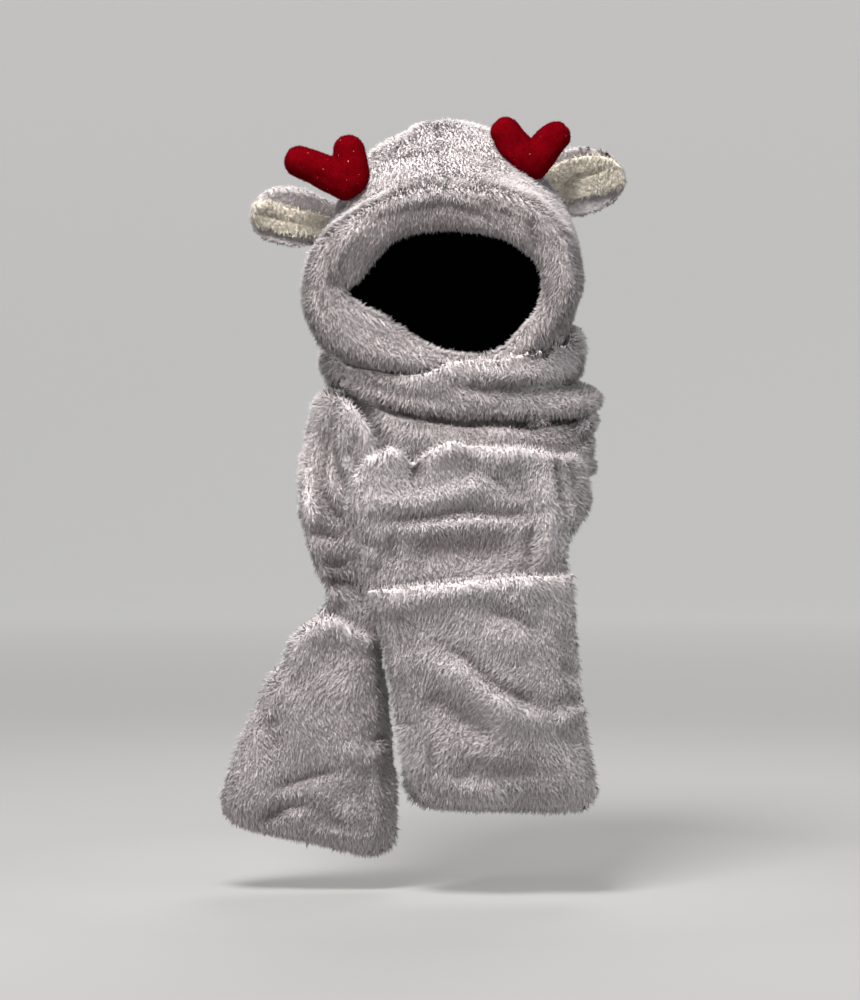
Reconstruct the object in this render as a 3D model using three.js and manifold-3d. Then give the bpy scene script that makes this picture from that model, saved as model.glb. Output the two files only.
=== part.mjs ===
// Animal hood scarf: a plush hood with felt antlers and lined ears, whose two long ends wrap round
// the neck and hang in front, each closed with a patch pocket for a hand.
//
// Units are millimetres. +Z is up, -Y is the side that the face looks out of, +X is the right-hand
// side as seen from the front. The origin is where the crown of a head meets the inside of the hood.
// The scarf is modelled as it is worn: once round the neck, with both ends in front.
import * as THREE from 'three';
import Module from 'manifold-3d';

const wasm = await Module();
wasm.setup();
const { Manifold, Mesh } = wasm;

// Driving sizes of the hood
const HOOD_WIDTH = 264; // across the cheeks, outside
const HOOD_HEIGHT = 270; // crown to hem, outside
const HOOD_DEPTH = 222; // face edge to the back of the head, outside
const HOOD_WALL = 18; // two layers of plush
const LINING_WALL = 2.5; // dark fleece
const CROWN_SEAM = 2.5; // depth of the seam that runs from brow to nape

// Driving sizes of the padded roll round the face
const RIM_WIDTH = 272;
const RIM_HEIGHT = 190;
const RIM_DEPTH = 58; // its back part lies inside the hood

// Driving sizes of the two turns round the neck
const WRAP_WIDTH = 290; // left to right, outside
const WRAP_DEPTH = 278; // front to back, outside
const WRAP_HEIGHT = 157; // upper edge of the upper turn to lower edge of the lower turn
const WRAP_PLY = 36; // thickness of one gathered turn

// Driving sizes of the two ends and their pockets
const SCARF_WIDTH = 208;
const SCARF_PLY = 27;
const RIGHT_DROP = 346; // fold at the top of the right end to its lower edge
const LEFT_DROP = 468; // where the left end leaves the neck to its lower edge
const POCKET_PLY = 15;
const POCKET_ROOM = 16; // open space between the scarf and a pocket, front to back

// Driving sizes of the ears and antlers
const EAR_LENGTH = 89;
const EAR_WIDTH = 62;
const EAR_PLY = 12;
const EAR_LINING_PLY = 8;
const ANTLER_SPAN = 72; // longest prong, base to tip
const ANTLER_ROUND = 33; // across a prong
const ANTLER_PLY = 26; // front to back

// Gap between pieces that lie against each other
const SEAM_GAP = 0.5;

// Places that follow from the sizes
const HEM_Z = HOOD_WALL - HOOD_HEIGHT;
const FACE_EDGE_Y = -0.414 * HOOD_DEPTH;
const FACE_Z = HEM_Z + 0.36 * HOOD_HEIGHT;
const FACE_X = 0.004 * HOOD_WIDTH;
const WRAP_TOP_Z = HEM_Z + 0.244 * HOOD_HEIGHT;
const WRAP_FRONT_Y = FACE_EDGE_Y - 0.8 * RIM_DEPTH;
const WRAP_X = -0.42 * WRAP_WIDTH; // outermost point on the left

const SEGMENTS = {
  hood: { along: 15, across: 22 },
  rim: { along: 36, round: 12 },
  wrap: { along: 34, round: 12 },
  arm: { along: 28, round: 14 },
  pocket: { along: 11, across: 9 },
  ear: { along: 7, round: 10 },
  prong: { along: 4, round: 10 },
};

// The hood is a bonnet: arches swept from the face edge over the crown to the nape. Each row is one
// arch. Its feet stand at footY on the hem, its top is at topY and topZ, half is its widest half
// width, footHalf the half width at its feet and spring the height where the legs end and the dome
// begins. footY and topY are shares of HOOD_DEPTH, topZ of HOOD_HEIGHT, the widths of half
// HOOD_WIDTH and spring of the arch's own height.
const HOOD_ARCHES = [
  { at: 'face edge', footY: 0.0, topY: 0.0, topZ: 0.735, half: 0.955, footHalf: 0.75, spring: 0.46 },
  { at: 'forehead', footY: 0.054, topY: 0.099, topZ: 0.865, half: 0.98, footHalf: 0.76, spring: 0.45 },
  { at: 'front of crown', footY: 0.135, topY: 0.243, topZ: 0.962, half: 0.99, footHalf: 0.76, spring: 0.43 },
  { at: 'crown', footY: 0.225, topY: 0.414, topZ: 1.0, half: 1.0, footHalf: 0.76, spring: 0.42 },
  { at: 'back of crown', footY: 0.306, topY: 0.622, topZ: 0.966, half: 0.977, footHalf: 0.76, spring: 0.4 },
  { at: 'upper back', footY: 0.369, topY: 0.82, topZ: 0.845, half: 0.932, footHalf: 0.755, spring: 0.35 },
  { at: 'back of head', footY: 0.414, topY: 0.955, topZ: 0.632, half: 0.871, footHalf: 0.75, spring: 0.26 },
  { at: 'lower back', footY: 0.45, topY: 1.0, topZ: 0.419, half: 0.811, footHalf: 0.74, spring: 0.16 },
  { at: 'above nape', footY: 0.468, topY: 0.964, topZ: 0.19, half: 0.765, footHalf: 0.735, spring: 0.1 },
  { at: 'nape', footY: 0.477, topY: 0.874, topZ: 0.0, half: 0.735, footHalf: 0.727, spring: 0.1 },
];
// Below 2 the dome is a little pointed, as two sewn side panels make it.
const DOME_ROUNDNESS = 1.75;
// Share of an arch's parameter that its dome takes
const DOME_SHARE = 0.72;
// The head leans a few degrees towards the left
const HEAD_LEAN = THREE.MathUtils.degToRad(3);

// The roll round the face. Each row is one cut through it, from its outer to its inner edge, seen
// from the front, in shares of half RIM_WIDTH and half RIM_HEIGHT. set is how far its middle stands
// in front of the face edge, slant how far the inner edge lies behind the outer one and ply how thick
// it is, in shares of RIM_DEPTH. Under the chin, on the right, the roll passes behind the scarf.
const RIM_CUTS = [
  { at: 'right', outX: 0.985, outZ: 0.03, inX: 0.735, inZ: 0.02, set: 0.28, slant: 0.08, ply: 1.0 },
  { at: 'upper right', outX: 0.92, outZ: 0.5, inX: 0.69, inZ: 0.25, set: 0.28, slant: 0.08, ply: 1.0 },
  { at: 'right temple', outX: 0.71, outZ: 0.85, inX: 0.44, inZ: 0.44, set: 0.28, slant: 0.06, ply: 1.0 },
  { at: 'right brow', outX: 0.39, outZ: 1.03, inX: 0.21, inZ: 0.52, set: 0.29, slant: 0.04, ply: 1.0 },
  { at: 'brow', outX: 0.01, outZ: 1.08, inX: -0.01, inZ: 0.55, set: 0.29, slant: 0.04, ply: 1.0 },
  { at: 'left brow', outX: -0.34, outZ: 0.99, inX: -0.33, inZ: 0.47, set: 0.29, slant: 0.09, ply: 1.0 },
  { at: 'left temple', outX: -0.66, outZ: 0.74, inX: -0.52, inZ: 0.24, set: 0.28, slant: 0.31, ply: 1.0 },
  { at: 'upper left', outX: -0.9, outZ: 0.42, inX: -0.63, inZ: 0.05, set: 0.28, slant: 0.39, ply: 1.0 },
  { at: 'left', outX: -1.0, outZ: -0.02, inX: -0.735, inZ: -0.05, set: 0.28, slant: 0.16, ply: 1.0 },
  { at: 'lower left', outX: -0.94, outZ: -0.46, inX: -0.59, inZ: -0.22, set: 0.28, slant: 0.23, ply: 1.0 },
  { at: 'left jaw', outX: -0.78, outZ: -0.71, inX: -0.38, inZ: -0.37, set: 0.28, slant: 0.23, ply: 1.0 },
  { at: 'left chin', outX: -0.48, outZ: -0.85, inX: -0.14, inZ: -0.6, set: 0.29, slant: 0.16, ply: 0.95 },
  { at: 'chin', outX: -0.08, outZ: -0.93, inX: 0.1, inZ: -0.7, set: 0.24, slant: 0.08, ply: 0.8 },
  { at: 'right chin', outX: 0.36, outZ: -0.97, inX: 0.36, inZ: -0.74, set: 0.16, slant: 0.04, ply: 0.5 },
  { at: 'right jaw', outX: 0.7, outZ: -0.69, inX: 0.52, inZ: -0.45, set: 0.17, slant: 0.04, ply: 0.52 },
  { at: 'lower right', outX: 0.91, outZ: -0.3, inX: 0.7, inZ: -0.18, set: 0.26, slant: 0.06, ply: 0.85 },
];

// The two turns round the neck, from the front by the right and the back to the left. Each row is a
// cut through the middle of the cloth, in shares: x of WRAP_WIDTH from the outermost point on the
// left, y of WRAP_DEPTH from the frontmost point, z of WRAP_HEIGHT down from the upper edge, and
// ply of WRAP_PLY. The crease is where the upper turn ends and the lower one begins.
const WRAP_CUTS = [
  { at: 'front', topX: 0.49, topY: 0.05, topZ: 0.245, creaseX: 0.49, creaseY: 0.062, creaseZ: 0.645,
    lowX: 0.49, lowY: 0.1, lowZ: 1.0, upperPly: 0.95, lowerPly: 0.9 },
  { at: 'front right', topX: 0.68, topY: 0.07, topZ: 0.19, creaseX: 0.7, creaseY: 0.095, creaseZ: 0.645,
    lowX: 0.7, lowY: 0.125, lowZ: 1.02, upperPly: 0.95, lowerPly: 0.9 },
  { at: 'right shoulder', topX: 0.82, topY: 0.22, topZ: 0.09, creaseX: 0.87, creaseY: 0.235, creaseZ: 0.63,
    lowX: 0.875, lowY: 0.26, lowZ: 1.02, upperPly: 1.0, lowerPly: 0.95 },
  { at: 'right', topX: 0.845, topY: 0.47, topZ: 0.03, creaseX: 0.925, creaseY: 0.47, creaseZ: 0.58,
    lowX: 0.905, lowY: 0.48, lowZ: 1.0, upperPly: 1.0, lowerPly: 1.0 },
  { at: 'right of nape', topX: 0.81, topY: 0.72, topZ: 0.04, creaseX: 0.865, creaseY: 0.74, creaseZ: 0.53,
    lowX: 0.84, lowY: 0.74, lowZ: 0.97, upperPly: 0.95, lowerPly: 1.0 },
  { at: 'back right', topX: 0.655, topY: 0.92, topZ: 0.075, creaseX: 0.67, creaseY: 0.93, creaseZ: 0.505,
    lowX: 0.66, lowY: 0.91, lowZ: 0.945, upperPly: 0.95, lowerPly: 1.0 },
  { at: 'back', topX: 0.44, topY: 0.99, topZ: 0.09, creaseX: 0.44, creaseY: 0.98, creaseZ: 0.49,
    lowX: 0.44, lowY: 0.955, lowZ: 0.92, upperPly: 0.95, lowerPly: 1.0 },
  { at: 'back left', topX: 0.215, topY: 0.91, topZ: 0.105, creaseX: 0.21, creaseY: 0.905, creaseZ: 0.49,
    lowX: 0.225, lowY: 0.87, lowZ: 0.895, upperPly: 0.9, lowerPly: 0.9 },
  { at: 'left of nape', topX: 0.08, topY: 0.74, topZ: 0.14, creaseX: 0.068, creaseY: 0.73, creaseZ: 0.465,
    lowX: 0.13, lowY: 0.7, lowZ: 0.855, upperPly: 0.78, lowerPly: 0.66 },
  { at: 'left', topX: 0.04, topY: 0.52, topZ: 0.2, creaseX: 0.035, creaseY: 0.51, creaseZ: 0.425,
    lowX: 0.13, lowY: 0.5, lowZ: 0.82, upperPly: 0.62, lowerPly: 0.55 },
  { at: 'left shoulder', topX: 0.063, topY: 0.285, topZ: 0.2, creaseX: 0.06, creaseY: 0.28, creaseZ: 0.42,
    lowX: 0.135, lowY: 0.285, lowZ: 0.83, upperPly: 0.66, lowerPly: 0.55 },
  { at: 'front left', topX: 0.145, topY: 0.15, topZ: 0.23, creaseX: 0.145, creaseY: 0.125, creaseZ: 0.495,
    lowX: 0.19, lowY: 0.165, lowZ: 0.89, upperPly: 0.78, lowerPly: 0.66 },
  { at: 'left of front', topX: 0.3, topY: 0.1, topZ: 0.27, creaseX: 0.29, creaseY: 0.08, creaseZ: 0.6,
    lowX: 0.3, lowY: 0.11, lowZ: 0.96, upperPly: 0.9, lowerPly: 0.82 },
];
// How far the lower turn's upper edge lies inside the upper turn, in shares of WRAP_WIDTH
const LOWER_TUCK = { left: 0.075, front: 0.012 };

// The right end: it leaves the neck under the right side, turns down in front and hangs flat. Each
// row is a cut across the scarf from its upper or left edge (a) to its lower or right edge (b), in
// shares: x of SCARF_WIDTH, y of WRAP_DEPTH from the wrap's front, z of RIGHT_DROP below the fold.
const RIGHT_CUTS = [
  { at: 'inside the wrap', ax: 0.46, ay: 0.62, az: -0.16, bx: 0.47, by: 0.62, bz: -0.03, ply: 0.6 },
  { at: 'right side', ax: 0.55, ay: 0.42, az: -0.05, bx: 0.57, by: 0.41, bz: 0.09, ply: 0.75 },
  { at: 'right shoulder', ax: 0.6, ay: 0.19, az: 0.0, bx: 0.655, by: 0.2, bz: 0.15, ply: 0.9 },
  { at: 'turning corner', ax: 0.56, ay: 0.04, az: 0.0, bx: 0.67, by: 0.07, bz: 0.175, ply: 0.95 },
  { at: 'turning right', ax: 0.49, ay: -0.05, az: -0.01, bx: 0.615, by: -0.03, bz: 0.215, ply: 1.0 },
  { at: 'turning middle', ax: 0.1, ay: -0.065, az: -0.02, bx: 0.6, by: -0.055, bz: 0.235, ply: 1.05 },
  { at: 'turning left', ax: -0.37, ay: -0.065, az: 0.0, bx: 0.595, by: -0.06, bz: 0.255, ply: 1.05 },
  { at: 'top of the fall', ax: -0.44, ay: -0.065, az: 0.13, bx: 0.6, by: -0.065, bz: 0.28, ply: 1.0 },
  { at: 'over the pocket', ax: -0.405, ay: -0.06, az: 0.29, bx: 0.6, by: -0.06, bz: 0.305, ply: 0.95 },
  { at: 'pocket mouth', ax: -0.37, ay: -0.055, az: 0.375, bx: 0.625, by: -0.055, bz: 0.33, ply: 0.9 },
  { at: 'upper pocket', ax: -0.3, ay: -0.05, az: 0.52, bx: 0.645, by: -0.05, bz: 0.5, ply: 0.9 },
  { at: 'middle of pocket', ax: -0.24, ay: -0.045, az: 0.69, bx: 0.67, by: -0.045, bz: 0.67, ply: 0.9 },
  { at: 'lower pocket', ax: -0.2, ay: -0.04, az: 0.86, bx: 0.715, by: -0.04, bz: 0.85, ply: 0.9 },
  { at: 'pocket corners', ax: -0.165, ay: -0.035, az: 0.965, bx: 0.745, by: -0.035, bz: 0.955, ply: 0.8 },
  { at: 'lower edge', ax: -0.08, ay: -0.035, az: 0.995, bx: 0.68, by: -0.035, bz: 1.0, ply: 0.3 },
];
const RIGHT_MOUTH = 9 / 14; // the pocket's rows begin here, as a share of the rows

// The left end: it comes from the back round the left of the neck, hangs gathered and spreads again
// at its pocket. Columns are as above, with z in shares of LEFT_DROP below the top of that end.
const LEFT_CUTS = [
  { at: 'under the wrap', ax: -0.3, ay: 0.87, az: 0.12, bx: -0.3, by: 0.88, bz: 0.045, ply: 0.6 },
  { at: 'left of nape', ax: -0.5, ay: 0.69, az: 0.145, bx: -0.5, by: 0.7, bz: 0.03, ply: 0.85 },
  { at: 'left side', ax: -0.58, ay: 0.465, az: 0.165, bx: -0.545, by: 0.475, bz: 0.025, ply: 0.9 },
  { at: 'left shoulder', ax: -0.635, ay: 0.32, az: 0.185, bx: -0.535, by: 0.265, bz: 0.03, ply: 1.0 },
  { at: 'turning down', ax: -0.655, ay: 0.21, az: 0.24, bx: -0.45, by: 0.115, bz: 0.035, ply: 1.1 },
  { at: 'gathered top', ax: -0.66, ay: 0.125, az: 0.31, bx: -0.3, by: 0.06, bz: 0.125, ply: 1.15 },
  { at: 'gathered middle', ax: -0.62, ay: 0.115, az: 0.375, bx: -0.27, by: 0.08, bz: 0.235, ply: 1.15 },
  { at: 'gathered foot', ax: -0.565, ay: 0.12, az: 0.43, bx: -0.27, by: 0.1, bz: 0.35, ply: 1.1 },
  { at: 'narrowest', ax: -0.53, ay: 0.12, az: 0.465, bx: -0.315, by: 0.11, bz: 0.43, ply: 0.95 },
  { at: 'pocket mouth', ax: -0.68, ay: 0.12, az: 0.53, bx: -0.3, by: 0.12, bz: 0.54, ply: 0.9 },
  { at: 'upper pocket', ax: -0.78, ay: 0.12, az: 0.595, bx: -0.265, by: 0.12, bz: 0.612, ply: 0.9 },
  { at: 'middle of pocket', ax: -0.89, ay: 0.12, az: 0.685, bx: -0.235, by: 0.12, bz: 0.705, ply: 0.9 },
  { at: 'below the middle', ax: -0.99, ay: 0.12, az: 0.785, bx: -0.215, by: 0.12, bz: 0.805, ply: 0.9 },
  { at: 'lower pocket', ax: -1.065, ay: 0.12, az: 0.865, bx: -0.2, by: 0.12, bz: 0.9, ply: 0.85 },
  { at: 'pocket corners', ax: -1.03, ay: 0.12, az: 0.925, bx: -0.235, by: 0.12, bz: 0.985, ply: 0.75 },
  { at: 'lower edge', ax: -0.9, ay: 0.12, az: 0.94, bx: -0.4, by: 0.12, bz: 1.0, ply: 0.3 },
];
const LEFT_MOUTH = 9 / 15;

// Creases and ridges. Each row runs from (fromT, fromS) to (toT, toS): T is the share along the
// piece and S goes from -1 at edge a to 1 at edge b, or from -1 at the lower to 1 at the upper edge
// of a turn. depth is in shares of the ply, below zero for a ridge, and wide in shares of S.
const HOOD_FOLDS = [
  { at: 'left brow crease', fromT: 0.03, fromS: -0.46, toT: 0.1, toS: -0.06, depth: 0.3, wide: 0.09 },
  { at: 'left temple crease', fromT: 0.1, fromS: -0.36, toT: 0.2, toS: -0.1, depth: 0.22, wide: 0.09 },
  { at: 'right crown fold', fromT: 0.1, fromS: 0.12, toT: 0.22, toS: 0.4, depth: 0.2, wide: 0.08 },
  { at: 'nape fold left', fromT: 0.7, fromS: -0.5, toT: 0.95, toS: -0.16, depth: 0.3, wide: 0.1 },
  { at: 'nape fold right', fromT: 0.7, fromS: 0.5, toT: 0.95, toS: 0.2, depth: 0.3, wide: 0.1 },
];
const RIM_FOLDS = [
  { at: 'left pleat', fromT: 0.44, fromS: 0.5, toT: 0.56, toS: 0.5, depth: 0.16, wide: 0.3 },
  { at: 'left cheek fold', fromT: 0.62, fromS: -0.2, toT: 0.76, toS: 0.3, depth: 0.16, wide: 0.22 },
];
const UPPER_FOLDS = [
  { at: 'front crease', fromT: 0.0, fromS: -0.05, toT: 0.24, toS: -0.36, depth: 0.45, wide: 0.13 },
  { at: 'right crease', fromT: 0.07, fromS: 0.5, toT: 0.24, toS: 0.4, depth: 0.34, wide: 0.11 },
  { at: 'back crease', fromT: 0.36, fromS: 0.0, toT: 0.66, toS: 0.1, depth: 0.2, wide: 0.2 },
];
const LOWER_FOLDS = [
  { at: 'right crease', fromT: 0.12, fromS: 0.1, toT: 0.36, toS: 0.3, depth: 0.3, wide: 0.15 },
  { at: 'back crease', fromT: 0.3, fromS: -0.3, toT: 0.62, toS: -0.1, depth: 0.3, wide: 0.17 },
];
const RIGHT_FOLDS = [
  { at: 'notch in the top fold', fromT: 0.4, fromS: -1.0, toT: 0.42, toS: -0.6, depth: 0.35, wide: 0.04 },
  { at: 'crease over the pocket', fromT: 0.475, fromS: -0.62, toT: 0.52, toS: 0.3, depth: 0.28, wide: 0.12 },
  { at: 'ridge over the pocket', fromT: 0.53, fromS: -0.45, toT: 0.55, toS: 0.25, depth: -0.22, wide: 0.12 },
  { at: 'sunk behind the mouth', fromT: 0.62, fromS: -0.5, toT: 0.62, toS: 0.6, depth: 0.38, wide: 0.3 },
  { at: 'edge of the turn', fromT: 0.24, fromS: -0.9, toT: 0.24, toS: 0.9, depth: 0.3, wide: 0.03 },
];
const LEFT_FOLDS = [
  { at: 'first gather', fromT: 0.16, fromS: 0.3, toT: 0.42, toS: 0.1, depth: 0.26, wide: 0.14 },
  { at: 'second gather', fromT: 0.22, fromS: -0.35, toT: 0.5, toS: -0.5, depth: 0.22, wide: 0.12 },
  { at: 'crossing crease', fromT: 0.38, fromS: -0.2, toT: 0.47, toS: 0.5, depth: 0.16, wide: 0.14 },
  { at: 'spread above the mouth', fromT: 0.56, fromS: -0.4, toT: 0.64, toS: 0.6, depth: 0.55, wide: 0.3 },
];
const RIGHT_POCKET_FOLDS = [
  { at: 'long slanting ridge', fromT: 0.2, fromS: -0.8, toT: 0.62, toS: 0.75, depth: -0.4, wide: 0.22 },
  { at: 'valley above it', fromT: 0.18, fromS: 0.1, toT: 0.45, toS: 0.8, depth: 0.32, wide: 0.18 },
  { at: 'valley below it', fromT: 0.42, fromS: -0.7, toT: 0.7, toS: 0.35, depth: 0.4, wide: 0.25 },
  { at: 'low ridge', fromT: 0.72, fromS: -0.7, toT: 0.86, toS: 0.1, depth: -0.25, wide: 0.2 },
];
const LEFT_POCKET_FOLDS = [
  { at: 'crease by the mouth', fromT: 0.12, fromS: -0.7, toT: 0.2, toS: 0.0, depth: 0.3, wide: 0.2 },
  { at: 'crease across', fromT: 0.62, fromS: -0.5, toT: 0.56, toS: 0.4, depth: 0.3, wide: 0.16 },
  { at: 'pinch in the lower edge', fromT: 0.8, fromS: -0.35, toT: 1.0, toS: -0.5, depth: 0.35, wide: 0.16 },
];

// The ears. Each row is a cut across the ear at its share of EAR_LENGTH from the root: rise is the
// height of its middle and wide its breadth, in shares of EAR_WIDTH, and cup how far the middle
// sinks behind the edges, in shares of EAR_PLY. lined is the share of the breadth that the lining
// takes and shift how far above the middle of the ear it lies, as a share of the breadth.
const LEFT_EAR = [
  { at: 'root', out: -0.12, rise: -0.1, wide: 0.7, cup: 0.5, lined: 0.5, shift: -0.02 },
  { at: 'neck of ear', out: 0.14, rise: -0.02, wide: 0.82, cup: 0.8, lined: 0.5, shift: -0.05 },
  { at: 'lower half', out: 0.4, rise: 0.06, wide: 0.98, cup: 1.0, lined: 0.46, shift: -0.08 },
  { at: 'upper half', out: 0.68, rise: 0.13, wide: 0.97, cup: 1.0, lined: 0.46, shift: -0.06 },
  { at: 'towards the tip', out: 0.88, rise: 0.17, wide: 0.74, cup: 0.7, lined: 0.56, shift: -0.02 },
  { at: 'tip', out: 0.98, rise: 0.18, wide: 0.26, cup: 0.2, lined: 0.7, shift: 0 },
];
const RIGHT_EAR = [
  { at: 'root', out: -0.14, rise: -0.02, wide: 0.7, cup: 0.5, lined: 0.5, shift: 0 },
  { at: 'neck of ear', out: 0.1, rise: 0.04, wide: 0.88, cup: 0.8, lined: 0.58, shift: 0.02 },
  { at: 'lower half', out: 0.34, rise: 0.1, wide: 1.16, cup: 1.0, lined: 0.6, shift: 0.05 },
  { at: 'upper half', out: 0.62, rise: 0.2, wide: 1.12, cup: 1.0, lined: 0.62, shift: 0.05 },
  { at: 'towards the tip', out: 0.84, rise: 0.25, wide: 0.78, cup: 0.7, lined: 0.68, shift: 0.03 },
  { at: 'tip', out: 0.95, rise: 0.24, wide: 0.28, cup: 0.2, lined: 0.75, shift: 0 },
];
const LINING_REACH = 0.92; // share of the ear's length that its lining takes

// The antlers, flat V shapes of stuffed felt. Each row is a prong from the base to its tip, in
// shares of ANTLER_SPAN sideways and upwards, with its end radii in shares of half ANTLER_ROUND.
const LEFT_PRONGS = [
  { at: 'upright prong', fromX: 0.04, fromZ: 0.0, toX: -0.01, toZ: 0.4, fromRound: 1.1, toRound: 0.93 },
  { at: 'long prong', fromX: -0.03, fromZ: -0.03, toX: -0.68, toZ: 0.25, fromRound: 1.1, toRound: 0.95 },
];
const RIGHT_PRONGS = [
  { at: 'upright prong', fromX: -0.1, fromZ: 0.04, toX: -0.33, toZ: 0.39, fromRound: 1.05, toRound: 0.93 },
  { at: 'long prong', fromX: 0.04, fromZ: 0.0, toX: 0.33, toZ: 0.33, fromRound: 1.05, toRound: 0.92 },
];

// Where the ears and antlers are sewn to the hood: share along the arches and across them
const SEATS = {
  leftEar: { along: 0.36, across: -0.52 },
  rightEar: { along: 0.36, across: 0.44 },
  leftAntler: { along: 0.19, across: -0.37 },
  rightAntler: { along: 0.21, across: 0.34 },
};

// The columns of a table at share t of its rows, on a smooth curve through them.
function row(table, t, closed = false) {
  const last = closed ? table.length : table.length - 1;
  const at = closed ? (((t % 1) + 1) % 1) * last : Math.min(Math.max(t, 0), 1) * last;
  const i = Math.min(Math.floor(at), last - 1);
  const f = at - i;
  const pick = k => closed
    ? table[(k + table.length) % table.length]
    : table[Math.min(Math.max(k, 0), table.length - 1)];
  const found = {};
  for (const [key, b] of Object.entries(pick(i))) {
    if (typeof b !== 'number') continue;
    const a = pick(i - 1)[key];
    const c = pick(i + 1)[key];
    const d = pick(i + 2)[key];
    found[key] = b + 0.5 * f * (c - a + f * (2 * a - 5 * b + 4 * c - d + f * (3 * (b - c) + d - a)));
  }
  return found;
}

const vec = (x, y, z) => new THREE.Vector3(x, y, z);
const signedPower = (value, power) => Math.sign(value) * Math.abs(value) ** power;
const smooth = x => {
  const f = Math.min(Math.max(x, 0), 1);
  return f * f * (3 - 2 * f);
};

// Depth of all folds of a table at (t, s): a bell-shaped groove round each line, fading at its ends.
function foldDepth(folds, t, s, closed = false) {
  let depth = 0;
  for (const fold of folds) {
    const dt = fold.toT - fold.fromT;
    const ds = fold.toS - fold.fromS;
    let pt = t - fold.fromT;
    if (closed) pt -= Math.round(pt - dt / 2);
    const ps = s - fold.fromS;
    const f = Math.min(Math.max((pt * dt + ps * ds) / (dt * dt + ds * ds), 0), 1);
    const away = Math.hypot(pt - f * dt, ps - f * ds) / fold.wide;
    depth += fold.depth * Math.exp(-away * away);
  }
  return depth;
}

// A closed solid through rings of points, its faces pointing out. Rings join end to end when
// closed, and otherwise the two end rings are closed by rungs from one side of the ring to the other.
function solidOfRings(rings, closed = false) {
  const n = rings[0].length;
  const points = new Float32Array(rings.length * n * 3);
  rings.flat().forEach((p, i) => p.toArray(points, i * 3));
  const faces = [];
  const quad = (a, b, c, d) => faces.push(a, b, c, a, c, d);
  for (let i = 0; i < rings.length - (closed ? 0 : 1); i++) {
    const here = i * n;
    const next = (i + 1) % rings.length * n;
    for (let k = 0; k < n; k++) quad(here + k, here + (k + 1) % n, next + (k + 1) % n, next + k);
  }
  const end = (rings.length - 1) * n;
  for (let k = 0; k < n / 2 - 1 && !closed; k++) {
    quad(n - 1 - k, n - 2 - k, k + 1, k);
    quad(end + k + 1, end + n - 2 - k, end + n - 1 - k, end + k);
  }
  const make = list => new Manifold(new Mesh({
    numProp: 3,
    vertProperties: points,
    triVerts: new Uint32Array(list),
  }));
  const solid = make(faces);
  return solid.volume() > 0 ? solid : make(faces.reverse());
}

// The solid grown by a distance: each corner moves along its mean normal, and further at a sharp
// edge, so that every face moves out by the whole distance.
function swollen(solid, by) {
  const mesh = solid.getMesh();
  const n = mesh.numProp;
  const count = mesh.numVert;
  const corners = [];
  for (let i = 0; i < count; i++) corners.push(vec(...mesh.vertProperties.subarray(i * n, i * n + 3)));
  const means = corners.map(() => vec(0, 0, 0));
  const faces = [];
  for (let i = 0; i < mesh.triVerts.length; i += 3) {
    const [a, b, c] = mesh.triVerts.subarray(i, i + 3);
    const normal = corners[b].clone().sub(corners[a]).cross(corners[c].clone().sub(corners[a]));
    for (const corner of [a, b, c]) means[corner].add(normal);
    faces.push({ corner: [a, b, c], normal: normal.normalize() });
  }
  means.forEach(mean => mean.normalize());
  const least = new Array(count).fill(1);
  for (const { corner, normal } of faces) {
    for (const k of corner) least[k] = Math.min(least[k], normal.dot(means[k]));
  }
  const grown = new Float32Array(count * 3);
  corners.forEach((corner, i) => {
    corner.addScaledVector(means[i], by / Math.max(least[i], 0.45)).toArray(grown, i * 3);
  });
  return new Manifold(new Mesh({ numProp: 3, vertProperties: grown, triVerts: mesh.triVerts }));
}

// The piece, cut back so that it lies a seam's gap off each neighbour. Slivers are left out.
function against(solid, ...neighbours) {
  let cut = solid;
  for (const neighbour of neighbours) cut = cut.subtract(swollen(neighbour, SEAM_GAP));
  const parts = cut.simplify(SEAM_GAP / 4).decompose();
  return parts.sort((a, b) => b.volume() - a.volume())[0];
}

// Leans a point with the head, about the crown.
const lean = p => p.applyAxisAngle(vec(0, 1, 0), -HEAD_LEAN);

// A point of the hood's outer surface: t runs from the face edge to the nape, q from the left foot
// of an arch (-1) over its top (0) to the right foot (1). The dome is a superellipse, and the legs
// below it draw in towards the neck.
function hoodSkin(t, q) {
  const arch = row(HOOD_ARCHES, t);
  const foot = vec(0, FACE_EDGE_Y + arch.footY * HOOD_DEPTH, HEM_Z);
  const top = vec(0, FACE_EDGE_Y + arch.topY * HOOD_DEPTH, HEM_Z + arch.topZ * HOOD_HEIGHT);
  const up = top.sub(foot);
  const half = arch.half * HOOD_WIDTH / 2;
  const share = Math.abs(q) / DOME_SHARE;
  let x;
  let height;
  if (share < 1) {
    const turn = share * Math.PI / 2;
    const power = 2 / DOME_ROUNDNESS;
    x = half * Math.sin(turn) ** power;
    height = arch.spring + (1 - arch.spring) * Math.max(Math.cos(turn), 0) ** power;
  } else {
    const down = (Math.abs(q) - DOME_SHARE) / (1 - DOME_SHARE);
    x = half + (arch.footHalf * HOOD_WIDTH / 2 - half) * smooth(down);
    height = arch.spring * (1 - down);
  }
  const p = foot.addScaledVector(up, height);
  p.x = Math.sign(q) * x;
  return p;
}

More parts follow.
